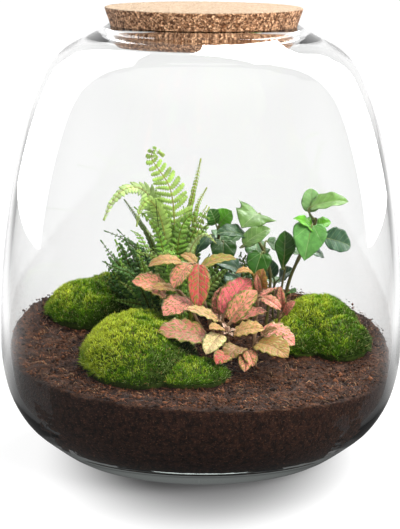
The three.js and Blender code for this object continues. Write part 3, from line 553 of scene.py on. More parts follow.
# Each frond: its root, the path of its rib, where its face looks, the share that is bare, the
# pairs of leaflets, how far they reach, their slant in degrees, their form and their green
FRONDS = {
    "tall": ((-18, 30), [(-18, 29, 125), (-18, 28, 148), (-21, 26, 164), (-27, 22, 174),
                         (-32, 16, 183), (-30, 9, 189), (-24, 4, 186)],
        (0, -1, 0.25), 0.44, 9, 13.5, 66, "cut", "lime"),
    "arching_left": ((-23, 35), [(-26, 35, 125), (-30, 35, 148), (-38, 29, 161), (-48, 21, 163),
                                 (-57, 14, 155), (-62, 11, 144)],
        (-0.2, -0.75, 0.6), 0.5, 10, 9.5, 56, "toothed", "pale"),
    "drooping_left": ((-20, 25), [(-23, 24, 128), (-28, 19, 149), (-34, 13, 157), (-39, 8, 151),
                                  (-41, 6, 141)],
        (-0.3, -0.9, 0.4), 0.52, 8, 6.5, 62, "toothed", "lime"),
    "upright": ((-12, 35), [(-11, 37, 125), (-7, 40, 152), (-4, 42, 165), (-1, 44, 179)],
        (0, -1, 0.2), 0.42, 8, 5.5, 35, "sword", "blade"),
    "upright_small": ((-7, 31), [(-6, 30, 125), (-3, 32, 150), (3, 34, 162)],
        (0, -1, 0.2), 0.5, 7, 5, 35, "sword", "blade"),
    "dark_narrow": ((-26, 41), [(-32, 44, 122), (-40, 48, 136), (-51, 52, 151)],
        (0.3, -1, 0.5), 0.4, 8, 5, 40, "sword", "olive"),
    "dark_left_upper": ((-31, 38), [(-40, 42, 116), (-52, 46, 126), (-64, 48, 131)],
        (0.2, -0.8, 1), 0.34, 8, 6, 62, "small", "dark"),
    "dark_left_middle": ((-35, 32), [(-46, 30, 105), (-56, 30, 115), (-65, 30, 128)],
        (0.3, -0.9, 0.8), 0.34, 8, 6, 62, "small", "dark"),
    "dark_left_lower": ((-31, 26), [(-44, 21, 107), (-54, 18, 112), (-63, 16, 117)],
        (0, -0.7, 1), 0.4, 7, 5, 62, "small", "dark"),
    "dark_back_left": ((-29, 46), [(-38, 54, 112), (-48, 60, 121), (-56, 64, 129)],
        (0.3, -0.8, 1), 0.36, 7, 6.5, 62, "small", "dark"),
    "fine_dark": ((-23, 20), [(-25, 17, 125), (-28, 13, 145), (-29, 10, 158)],
        (0, -1, 0.2), 0.45, 8, 3.5, 62, "small", "dark"),
    "middle_left": ((-18, 18), [(-23, 13, 120), (-29, 8, 139), (-36, 4, 149)],
        (0, -1, 0.5), 0.4, 8, 7, 62, "cut", "leaf"),
    "middle_right": ((-14, 25), [(-15, 22, 128), (-10, 19, 144), (-3, 17, 148), (5, 14, 145)],
        (0.2, -0.8, 0.7), 0.45, 8, 7, 62, "cut", "leaf"),
    "pale_right": ((-11, 15), [(-8, 12, 122), (-3, 8, 133), (3, 4, 137), (9, 0, 132)],
        (0.1, -0.8, 0.8), 0.5, 7, 4, 62, "toothed", "pale"),
    "front_low": ((-13, 12), [(-16, 9, 110), (-20, 1, 125), (-26, -9, 127)],
        (0, -0.8, 0.8), 0.45, 7, 7, 62, "small", "leaf"),
    "back_right": ((-12, 43), [(-6, 54, 116), (4, 64, 132), (14, 72, 134)],
        (0, 0.3, 1), 0.36, 7, 8, 62, "cut", "leaf"),
    "back_middle": ((-19, 48), [(-20, 58, 118), (-20, 70, 138), (-18, 82, 142)],
        (0, 0.2, 1), 0.36, 8, 9, 62, "cut", "leaf"),
    "back_left": ((-26, 52), [(-34, 66, 108), (-42, 78, 122), (-48, 88, 124)],
        (0, 0.3, 1), 0.36, 7, 8, 62, "cut", "leaf"),
}


def foot(root):
    """The upright foot of a stem, from its depth in the soil to just over it."""
    x, y = root
    ground = float(soil_height(x, y))
    return [(x, y, ground - ROOT_DEPTH), (x, y, ground - ROOT_DEPTH / 2), (x, y, ground + COLLAR)]


def lens(rows, columns):
    """Faces of a closed blade: an upper and a lower skin of rows by columns that share their edge."""
    top = np.arange(rows * columns).reshape(rows, columns)
    low = top.copy()
    inside_edge = np.arange((rows - 2) * (columns - 2)).reshape(rows - 2, columns - 2)
    low[1:-1, 1:-1] = rows * columns + inside_edge
    upper = np.stack([top[:-1, :-1], top[1:, :-1], top[1:, 1:], top[:-1, 1:]], -1)
    lower = np.stack([low[:-1, 1:], low[1:, 1:], low[1:, :-1], low[:-1, :-1]], -1)
    return np.vstack([upper.reshape(-1, 4), lower.reshape(-1, 4)])


class Growth:
    """The blades, stalks and shoots of one plant piece in the making. The notes on each point are
    its tint, the colour of its net, and its place among the veins."""

    def __init__(self):
        self.points, self.faces, self.count = [], [], 0
        self.notes = {"tint": [], "net": [], "vein": []}

    def add(self, points, faces, tint, net=(0, 0, 0, 0), vein=(9, 0.5, 9)):
        self.points.append(points.reshape(-1, 3))
        self.faces += (faces + self.count).tolist()
        n = len(self.points[-1])
        for name, value, size in (("tint", tint, 4), ("net", net, 4), ("vein", vein, 3)):
            self.notes[name].append(np.broadcast_to(np.asarray(value, float), (n, size)))
        self.count += n

    def blade(self, top, up, half, notes):
        """A closed blade from a grid of points, of a half thickness that ends in a thin edge."""
        rows, columns = top.shape[:2]
        inner = (slice(1, -1), slice(1, -1))
        raised = top.copy()
        raised[inner] += (up * half)[inner]
        lowered = (top - up * half)[inner]

        def both_skins(note):
            return np.vstack([note.reshape(rows * columns, -1),
                              note[inner].reshape((rows - 2) * (columns - 2), -1)])

        notes = {name: both_skins(note) for name, note in notes.items()}
        points = np.vstack([raised.reshape(-1, 3), lowered.reshape(-1, 3)])
        self.add(points, lens(rows, columns), **notes)

    def tube(self, line, shares, radii, sides, steps, tint):
        """A round stalk along a line, with its radius given at some shares of the length."""
        share = np.linspace(shares[0], shares[-1], steps + 1)
        place, heading = line.at(share), line.heading(share)
        side = unit(np.cross(heading, (0.31, -0.9, 0.3)))
        other = np.cross(heading, side)
        angle = 2 * np.pi * np.arange(sides) / sides
        thick = np.interp(share, shares, radii)[:, None, None]
        spokes = side[:, None] * np.cos(angle)[:, None] + other[:, None] * np.sin(angle)[:, None]
        rings = place[:, None] + thick * spokes
        at = np.arange((steps + 1) * sides).reshape(steps + 1, sides)
        beside = np.roll(at, -1, axis=1)
        walls = np.stack([at[:-1], beside[:-1], beside[1:], at[1:]], -1).reshape(-1, 4)
        ends = [(at[0, i + 2], at[0, i + 1], at[0, i], at[0, 0]) for i in range(1, sides - 2, 2)]
        ends += [(at[-1, 0], at[-1, i], at[-1, i + 1], at[-1, i + 2]) for i in range(1, sides - 2, 2)]
        self.add(rings, np.vstack([walls, ends]), (*tint, 0))

    def become(self, name, finish, slot, stands_for):
        made = piece(name, np.vstack(self.points), self.faces, finish, slot, stands_for)
        tinted(made, "tint", np.vstack(self.notes["tint"]))
        tinted(made, "net", np.vstack(self.notes["net"]))
        vein = made.data.attributes.new("vein", "FLOAT_VECTOR", "POINT")
        vein.data.foreach_set("vector", np.vstack(self.notes["vein"]).astype(np.float32).ravel())


def sprout(growth, line, look, bare, pairs, reach, slant, form, green, draws, fine=True):
    """One frond of a fern: its rib, and its leaflets on both sides from its bare foot up."""
    first = bare * line.length
    pitch = (line.length - first) / (pairs + 0.5)
    colour, facing = np.array(FERN_GREENS[green]), np.array(look, float)
    rib_tint = colour * (0.75, 0.6, 0.5) + (0.03, 0.0, 0.0)
    sides, steps = (6, 30) if fine else (4, 8)
    growth.tube(line, (0, bare, 1), (0.75, 0.6, 0.22), sides, steps, rib_tint)

    def leaflet(start, heading, length, half, shape, rows, columns, shade, tilt):
        """One blade: its start and heading lie in the plane of the frond, along and across."""
        t, c = np.linspace(0, 1, rows)[:, None], np.linspace(-1, 1, columns)[None]
        w = half * np.interp(t, *LEAFLET_FORMS[shape])
        if shape in ("toothed", "sword"):
            w = w * (0.86 + 0.2 * abs(np.sin(np.pi * 5.0 * t)))
        if shape == "cut" and columns > 3:
            w = w * (0.52 + 0.48 * abs(np.sin(np.pi * (rows - 1) / 4 * t)) ** 0.6)
        s = start[0] + heading[0] * t * length - heading[1] * c * w
        v = start[1] + heading[1] * t * length + heading[0] * c * w
        lift = -0.012 * v * v - 0.22 * half * c**2 + tilt * t * length - 0.06 * length * t * t
        share = s / line.length
        along = line.heading(share)
        up = unit(facing - along * (along @ facing)[..., None])
        top = line.at(share) + np.cross(up, along) * v[..., None] + up * lift[..., None]
        thick = (0.24 * (1 - c**2) * np.ones_like(t))[..., None]
        spot = np.ones((rows, columns, 1))
        tint = np.concatenate([spot * (colour * shade), spot], -1)
        side_veins = t * 7 * np.ones_like(c) - 0.8 * abs(c)
        vein = np.stack([c * w, side_veins, np.full((rows, columns), length / 7)], -1)
        growth.blade(top, up, thick, {"tint": tint, "vein": vein})

    def turned_by(heading, turn):
        c, s = math.cos(turn), math.sin(turn)
        return np.array([c * heading[0] - s * heading[1], s * heading[0] + c * heading[1]])

    def pinna(at, side, size, fresh):
        """What grows on one side of the rib at one place: a leaflet, or a sprig of small ones."""
        forward = math.radians(slant + draws.normal(0, 5))
        heading = np.array([math.cos(forward), side * math.sin(forward)])
        start = np.array([at, side * 0.3])
        tilt = draws.normal(0.02, 0.10)
        shade = fresh * draws.uniform(0.78, 1.22)
        if form == "toothed":
            leaflet(start, heading, size, 0.78 * spacing * math.sin(forward), form, 17, 5, shade, tilt)
        elif form == "sword":
            leaflet(start, heading, 0.8 * size, 1.1 * spacing * math.sin(forward), form, 9, 3, shade, tilt)
        elif not fine:
            leaflet(start, heading, size, 0.45 * spacing, "small", 6, 3, shade, tilt)
        elif form == "small":
            for part, scale, turns in ((0.28, 0.55, (0.85, -0.85)), (0.55, 0.6, (0.85, -0.85)),
                                       (0.8, 0.5, (0.0,))):
                for turn in turns:
                    leaflet(start + heading * part * size, turned_by(heading, turn + draws.normal(0, 0.2)),
                            scale * size, 0.24 * size, form, 6, 3,
                            fresh * draws.uniform(0.6, 2.0), tilt + draws.normal(0, 0.25))
            leaflet(start, heading, size * 0.85, 0.16, "cut", 5, 3, shade * 0.7, tilt)
        else:
            lobes = max(3, round(size / 1.6))
            leaflet(start, heading, size, 0.43 * spacing, form, 4 * lobes + 1, 5, shade, tilt)
            leaflet(start, heading, size * 0.9, 0.2, "small", 5, 3, shade * 1.25, tilt + 0.02)

    count = round(pairs * FERN_FINENESS[form])
    spacing = pitch * (pairs + 0.5) / (count + 0.5)
    for k in range(count):
        t = k / count
        size = reach * min(0.7 + 1.5 * t, 1) * min(1, 1.25 * (1 - t))
        for side in (1, -1):
            pinna(first + spacing * (k + 0.5), side, size * draws.uniform(0.93, 1.05), 0.95 + 0.25 * t)
    if form in ("cut", "small"):
        for at in np.arange(first, 0.5 * first, -spacing * 0.9):
            for side in (1, -1):
                pinna(at, side, reach * draws.uniform(0.45, 0.7), draws.uniform(0.6, 0.9))
    tip, onward = (line.length - pitch * 0.6, 0), np.array([1.0, 0.0])
    leaflet(tip, onward, pitch * 0.9, 0.2 * reach * 0.5, "small", 7, 5, 1.1, 0)


def from_side_vein(finish, rank):
    """How far a spot lies from the nearest side vein, as a share of the space between two."""
    part = finish.math("FRACT", finish.math("ADD", rank, 0.5))
    return finish.math("ABSOLUTE", finish.math("SUBTRACT", part, 0.5))


def thin_leaf(name, roughness, through, vein_light, vein_width):
    """The makings of a thin green blade: its own tint, mottled, with lighter veins."""
    blade = Finish(name)
    tint = blade.note("tint")
    across, rank, spacing = blade.parts(blade.note("vein", "Vector"))
    mid = blade.between(blade.math("ABSOLUTE", across), 0.4 * vein_width, vein_width, 1, 0)
    gap = blade.math("MULTIPLY", from_side_vein(blade, rank), spacing)
    side = blade.between(gap, 0.25 * vein_width, 0.8 * vein_width, 0.6, 0)
    veins = blade.math("MAXIMUM", mid, side)
    where = blade.add("TexCoord", {}, "Object")
    mottle = blade.between(blade.noise(320.0, where), 0.3, 0.7, 0.8, 1.15)
    pale = blade.math("MULTIPLY", veins, vein_light)
    colour = blade.blend(pale, blade.dappled(tint, mottle), (0.6, 0.72, 0.35))
    height = blade.math("SUBTRACT", blade.noise(900.0, where, 2.0), veins)
    body = blade.add("BsdfPrincipled", {"Base Color": colour, "Roughness": roughness,
                                        "Specular IOR Level": 0.4, "Normal": blade.bump(height, 0.00025)})
    behind = blade.add("BsdfTranslucent", {"Color": colour})
    return blade.shown(blade.add("MixShader", {0: through, 1: body, 2: behind}))


fern_green = thin_leaf("fern_green", roughness=0.5, through=0.35, vein_light=0.25, vein_width=0.16)
for seed, (name, (root, path, *form)) in enumerate(FRONDS.items()):
    growth = Growth()
    sprout(growth, Line([*foot(root), *path]), *form, np.random.default_rng(40 + seed))
    growth.become("fern_" + name, fern_green, "fern_dark" if "dark" in name else "fern_light",
                  ["fern_frond_" + name])

# The fern's undergrowth: many short young fronds of the same fern, crowded low round its crown, on
# its left and behind the ivies. Each grows from the soil between the stems and leans outwards.
draws = np.random.default_rng(77)
growth = Growth()
# Round the crown, the outer ones lower than the rest
for _ in range(34):
    out = np.array([draws.uniform(-34, 40), draws.uniform(-8, 22)])
    x, y = -18 + 0.35 * out[0], 32 + 0.3 * out[1]
    ground = float(soil_height(x, y))
    top = ground + draws.uniform(22, 56) - 0.35 * abs(out[0])
    path = [(x, y, ground - 1), (x + 0.1 * out[0], y + 0.1 * out[1], ground + 10),
            (x + 0.4 * out[0], y + 0.4 * out[1], 0.55 * ground + 0.45 * top + 6),
            (x + 0.85 * out[0], y + 0.85 * out[1], top)]
    green = draws.choice(["leaf", "dark", "leaf", "lime"])
    reach = draws.uniform(4, 6.5)
    look = (0.01 * out[0], -1, 0.6)
    sprout(growth, Line(path), look, 0.35, 5, reach, 60, "cut", green, draws, fine=False)
# On the left of the crown
for _ in range(24):
    x, y = draws.uniform(-36, -26), draws.uniform(28, 44)
    ground = float(soil_height(x, y))
    away, top = draws.uniform(6, 28), draws.uniform(102, 128)
    path = [(x, y, ground - 1), (x - 0.15 * away, y, ground + 10),
            (x - 0.6 * away, y - 2, 0.4 * ground + 0.6 * top),
            (x - away, y - draws.uniform(0, 8), top)]
    reach = draws.uniform(5, 8)
    form = draws.choice(["cut", "small"])
    green = draws.choice(["dark", "dark", "leaf"])
    sprout(growth, Line(path), (0.2, -1, 0.7), 0.3, 5, reach, 60, form, green, draws, fine=False)
# Behind the ivies
for _ in range(18):
    x, y = draws.uniform(-8, 34), draws.uniform(40, 62)
    ground, top = float(soil_height(x, y)), draws.uniform(98, 126)
    lean = draws.uniform(-12, 14)
    path = [(x, y, ground - 1), (x + 0.1 * lean, y, ground + 10),
            (x + 0.5 * lean, y - 3, 0.4 * ground + 0.6 * top),
            (x + lean, y - draws.uniform(2, 10), top)]
    reach = draws.uniform(4, 7)
    green = draws.choice(["dark", "olive", "leaf"])
    sprout(growth, Line(path), (0.0, -1, 0.6), 0.3, 5, reach, 60, "cut", green, draws, fine=False)
growth.become("fern_undergrowth", fern_green, "fern_light", [])

# The fern's half-grown fronds: a loose fountain of light green ones from the middle of the crown.
# They rise through the undergrowth to two thirds of the tall frond, and nod at their tips.
growth = Growth()
for _ in range(26):
    x, y = draws.uniform(-26, -8), draws.uniform(24, 42)
    ground = float(soil_height(x, y))
    tip_x, top = draws.uniform(-46, 6), draws.uniform(122, 152)
    tip_y = y + draws.uniform(-16, 4)
    path = [(x, y, ground - 1), (x + 0.1 * (tip_x - x), y, ground + 16),
            (x + 0.5 * (tip_x - x), 0.6 * y + 0.4 * tip_y, 0.3 * ground + 0.7 * top + 6),
            (tip_x, tip_y, top)]
    reach = draws.uniform(3.6, 6.0)
    green = draws.choice(["lime", "pale", "leaf", "lime"])
    look = (0.01 * (tip_x - x), -1, 0.5)
    sprout(growth, Line(path), look, 0.42, 6, reach, 58, "cut", green, draws, fine=False)
growth.become("fern_young_fronds", fern_green, "fern_light", [])

# The ivies: young rooted cuttings with olive brown shoots and leathery leaves on thin stalks,
# lobed, heart-shaped or oval, from fresh green to grey green, with raised pale veins.
LEAF_ROWS, LEAF_COLUMNS = 26, 15
# Half a leaf's outline from stalk to tip: how far along the midrib and its edge lie, and its width
OUTLINES = {
    "fittonia": [(0.08, 0.03, 0.6), (0.3, 0.26, 1), (0.6, 0.58, 0.98), (0.88, 0.86, 0.6)],
    "ivy": [(0.1, -0.06, 0.54), (0.2, 0.14, 1), (0.36, 0.36, 0.64), (0.54, 0.54, 0.74),
            (0.78, 0.78, 0.42)],
    "heart": [(0.1, -0.08, 0.56), (0.26, 0.16, 1), (0.52, 0.46, 0.9), (0.8, 0.78, 0.5)],
    "oval": [(0.1, 0.06, 0.6), (0.34, 0.3, 1), (0.64, 0.62, 0.92), (0.88, 0.88, 0.52)],
    "spoon": [(0.12, 0.1, 0.26), (0.38, 0.36, 0.66), (0.66, 0.64, 1), (0.88, 0.88, 0.66)],
}
# A leaf's own green, the green of its edge and veins, and how far in that edge runs
IVY_GREENS = {
    "fresh": ((0.15, 0.305, 0.06), (0.29, 0.44, 0.16), 0.40),
    "mild": ((0.115, 0.225, 0.05), (0.21, 0.33, 0.12), 0.40),
    "bright": ((0.11, 0.38, 0.015), (0.26, 0.50, 0.08), 0.30),
    "mist": ((0.19, 0.36, 0.12), (0.40, 0.56, 0.28), 0.40),
    "heart": ((0.12, 0.33, 0.07), (0.34, 0.56, 0.24), 0.35),
    "edged": ((0.015, 0.065, 0.015), (0.20, 0.32, 0.18), 0.60),
    "deep": ((0.025, 0.105, 0.006), (0.08, 0.20, 0.03), 0.20),
    "slate": ((0.035, 0.095, 0.045), (0.12, 0.21, 0.11), 0.20),
    "grey": ((0.06, 0.16, 0.04), (0.14, 0.28, 0.10), 0.20),
}
# Each shoot: its root, its path, its radius, the radius of its stalks, and its leaves. A leaf: where
# it stands on the shoot, its base, its tip, its width, where its face looks, its outline and green
IVIES = {
    "ivy_middle_front": ((42, 27), [(44, 28, 95), (44, 28, 109), (38, 25, 126), (32, 22, 136)], 1.1, 0.6, [
        (0.97, (36, 24, 147), (25, 11, 140), 31, (0.05, -0.62, 0.78), "ivy", "mild"),
        (0.9, (26, 6, 130), (43, 10, 140), 12, (0.2, -0.8, 1), "oval", "mild"),
        (0.84, (28, 13, 135), (9, 6, 137), 14, (0.1, -0.5, 1), "oval", "edged"),
        (0.78, (42, 30, 128), (50, 36, 118), 13, (0.5, -0.6, 1), "oval", "deep"),
        (0.72, (38, 19, 122), (33, 13, 107), 16, (-0.1, -1, 0.4), "heart", "deep"),
        (0.62, (36, 34, 118), (34, 52, 126), 17, (0, 0.4, 1), "ivy", "grey"),
    ]),
    "ivy_middle_back": ((10, 44), [(9, 43, 100), (10, 41, 122), (12, 38, 136)], 1.1, 0.6, [
        (0.97, (11, 36, 137), (19, 33, 147), 15, (-0.2, -1, 0.6), "oval", "bright"),
        (0.93, (9, 35, 138), (5, 34, 148), 12, (0.3, -1, 0.5), "oval", "deep"),
        (0.86, (5, 38, 130), (-4, 30, 119), 14, (-0.4, -0.9, 0.7), "heart", "slate"),
        (0.8, (14, 36, 126), (13, 26, 110), 17, (0.1, -1, 0.4), "heart", "deep"),
        (0.75, (12, 47, 124), (12, 63, 130), 16, (0, 0.4, 1), "ivy", "grey"),
        (0.7, (17, 44, 122), (28, 50, 130), 15, (0.3, 0, 1), "ivy", "grey"),
    ]),
    "ivy_middle_low": ((24, 33), [(25, 32, 88), (26, 31, 100), (26, 29, 108)], 0.9, 0.55, [
        (0.97, (24, 26, 110), (8, 22, 115), 15, (0, -0.7, 1), "ivy", "slate"),
        (0.86, (25, 23, 105), (16, 10, 104), 14, (-0.1, -0.6, 1), "oval", "slate"),
        (0.78, (27, 38, 102), (24, 56, 104), 16, (0, 0.4, 1), "ivy", "grey"),
    ]),
    "ivy_low_right": ((47, 44), [(47, 44, 88), (48, 44, 99)], 0.8, 0.5, [
        (0.97, (47, 41, 102), (40, 37, 116), 11, (0, -1, 0.6), "oval", "slate"),
        (0.92, (51, 42, 101), (60, 38, 108), 11, (0, -0.8, 1), "oval", "slate"),
        (0.8, (47, 50, 97), (42, 66, 100), 14, (0, 0.4, 1), "ivy", "grey"),
    ]),
    "ivy_right": ((53, 36), [(55, 35, 93), (58, 34, 105), (64, 31, 120), (71, 28, 136),
                             (73, 28, 144)], 1.2, 0.65, [
        (0.98, (69, 25, 151), (93, 20, 156), 15, (-0.2, -0.6, 1), "oval", "fresh"),
        (0.96, (69, 31, 147), (70, 35, 162), 13, (0.2, -1, 0.4), "oval", "mist"),
        (0.9, (70, 25, 138), (58, 19, 145), 14, (0, -0.7, 1), "ivy", "bright"),
        (0.88, (70, 22, 140), (65, 13, 119), 22, (-0.1, -1, 0.35), "heart", "heart"),
        (0.86, (74, 30, 138), (83, 30, 141), 10, (0, -0.7, 1), "oval", "bright"),
        (0.78, (79, 33, 130), (97, 36, 124), 17, (0.2, -1, 0.7), "oval", "slate"),
        (0.7, (71, 36, 120), (80, 43, 116), 9, (0.3, -0.8, 1), "oval", "slate"),
        (0.66, (64, 38, 118), (64, 58, 124), 16, (0, 0.4, 1), "ivy", "grey"),
    ]),
    "ivy_right_spoon": ((49, 27), [(51, 28, 92), (53, 29, 106), (54, 29, 112)], 0.9, 0.7, [
        (0.97, (52, 28, 111), (53, 25, 136), 14, (0.2, -1, 0.2), "spoon", "deep"),
        (0.7, (54, 22, 94), (60, 12, 99), 9, (0, -0.6, 1), "oval", "deep"),
    ]),
}


def leaf(growth, start, base, tip, width, face, outline, stalk, seed, tint, net, share, stem_tint,
         bow=0.1, fold=0.25, wave=0.04, folds=2.6, quilt=0.15, palmate=False):
    """A leaf on its round stalk: it runs from a point on its shoot to its base and on to its tip."""
    draws = np.random.default_rng(seed)
    start, base, tip = (np.array(p, float) for p in (start, base, tip))
    length = np.linalg.norm(tip - base)
    along = (tip - base) / length
    facing = np.array(face, float)
    up = unit(facing - along * (along @ facing))
    across = np.cross(up, along)
    elbow = base - along * 0.4 * np.linalg.norm(base - start)
    w = np.linspace(0, 1, 9)[:, None]
    bend = start * (1 - w) ** 2 + elbow * 2 * w * (1 - w) + base * w**2
    rib = [base + along * length * t + up * (4 * bow * length * t * (1 - t) - 0.35)
           for t in (0.12, 0.3, 0.5, 0.72)]
    stalk_radii = (stalk * 1.15, stalk, stalk * 0.75, 0.12)
    growth.tube(Line(np.vstack([bend, rib])), (0, 0.4, 0.7, 1), stalk_radii, 8, 22, stem_tint)

    half_outline = Line([(0, 0, 2 * stalk / width), *OUTLINES[outline], (1, 1, 0.02)], 8)
    mid, edge, half = (column[:, None] for column in half_outline.at(np.linspace(0, 1, LEAF_ROWS)).T)
    c = np.linspace(-1, 1, LEAF_COLUMNS)[None]
    s = (mid + (edge - mid) * abs(c) ** 1.4) * length
    v = c * np.maximum(half, 0.02) * width / 2
    t = np.clip(s / length, 0, 1)
    if palmate:
        turn = np.arctan2(abs(v), s + 0.06 * length)
        rank, spacing = turn / 0.62, np.hypot(v, s) * 0.62
    else:
        rank, spacing = 6 * (t - 0.2 * abs(c)), np.full(s.shape, length / 6)
    phase = draws.uniform(0, 6.3, 2)
    ripple = np.sin(2 * np.pi * folds * t + np.where(c > 0, phase[0], phase[1]))
    arch = 4 * bow * length * t * (1 - t)
    trough = fold * (np.hypot(v, 1.2) - 1.2)
    waves = 2.2 * wave * abs(v) * abs(c) * ripple
    pillows = quilt * (0.5 - 0.5 * np.cos(2 * np.pi * rank)) * (1 - c**4) * np.minimum(abs(v) / 1.5, 1)
    groove = 0.3 * np.exp(-(v / 0.7) ** 2)
    lift = arch + trough + waves + pillows - groove
    top = base + along * s[..., None] + across * v[..., None] + up * lift[..., None]
    thick = (0.3 * (1 - c**4) * np.minimum(1, 6 * (1 - t)) * np.ones_like(s))[..., None]
    spot = np.ones((*s.shape, 1))
    # Each leaf counts its veins from a number of its own, so that no two have the same specks
    own_number = 17 * (seed % 50)
    growth.blade(top, up, thick, {
        "tint": np.concatenate([spot * tint, spot * share], -1),
        "net": np.concatenate([spot * net, spot * abs(c)[..., None]], -1),
        "vein": np.stack([v, rank + own_number, spacing], -1)})


def shoot(growth, line, radius, tint, nodes):
    """A stem with slightly thicker joints where its leaves stand."""
    shares = np.linspace(0, 1, 40)
    radii = radius * (1.12 - 0.35 * shares)
    for at in nodes:
        radii += radius * 0.28 * np.exp(-((shares - at) / 0.018) ** 2)
    growth.tube(line, shares, radii, 10, 60, tint)


IVY_SHOOT = (0.09, 0.085, 0.025)
IVY_STALK = (0.17, 0.20, 0.06)
ivy_leather = thin_leaf("ivy_leather", roughness=0.36, through=0.25, vein_light=0.34, vein_width=0.28)
for seed, (name, (root, path, radius, stalk, leaves)) in enumerate(IVIES.items()):
    growth, line = Growth(), Line([*foot(root), *path])
    shoot(growth, line, radius, IVY_SHOOT, [row[0] for row in leaves])
    for i, (at, base, tip, width, face, outline, green) in enumerate(leaves):
        leaf(growth, line.at(at), base, tip, width, face, outline, stalk, 100 + 10 * seed + i,
             *IVY_GREENS[green], IVY_STALK, palmate=outline in ("ivy", "heart"))
    growth.become(name, ivy_leather, "ivy_leaf", [name])

# The fittonia: a low nerve plant on soft brownish shoots. Its broad leaves are pink where the veins
# are and green in the specks between them, and the young ones come out bronze and olive.
FITTONIA_STEM = (0.36, 0.22, 0.12)
# A leaf's pink, the green or bronze between its veins and at its edge, and how much of that shows
FITTONIA_TINTS = {
    "pink": ((0.78, 0.27, 0.21), (0.16, 0.22, 0.03), 0.42),
    "rose": ((0.72, 0.26, 0.17), (0.22, 0.26, 0.04), 0.52),
    "salmon": ((0.42, 0.145, 0.095), (0.16, 0.21, 0.03), 0.5),
    "red": ((0.50, 0.078, 0.062), (0.17, 0.22, 0.03), 0.46),
    "magenta": ((0.74, 0.16, 0.17), (0.20, 0.26, 0.04), 0.34),
    "peach": ((0.64, 0.36, 0.18), (0.30, 0.34, 0.08), 0.5),
    "cream": ((0.80, 0.62, 0.32), (0.42, 0.48, 0.14), 0.35),
    "orange": ((0.52, 0.24, 0.08), (0.32, 0.28, 0.05), 0.5),
    "bronze": ((0.54, 0.28, 0.11), (0.34, 0.28, 0.06), 0.55),
    "olive": ((0.44, 0.26, 0.08), (0.26, 0.30, 0.05), 0.7),
    "amber": ((0.36, 0.175, 0.05), (0.25, 0.24, 0.04), 0.5),
    "brown": ((0.28, 0.13, 0.05), (0.20, 0.16, 0.03), 0.6),
}
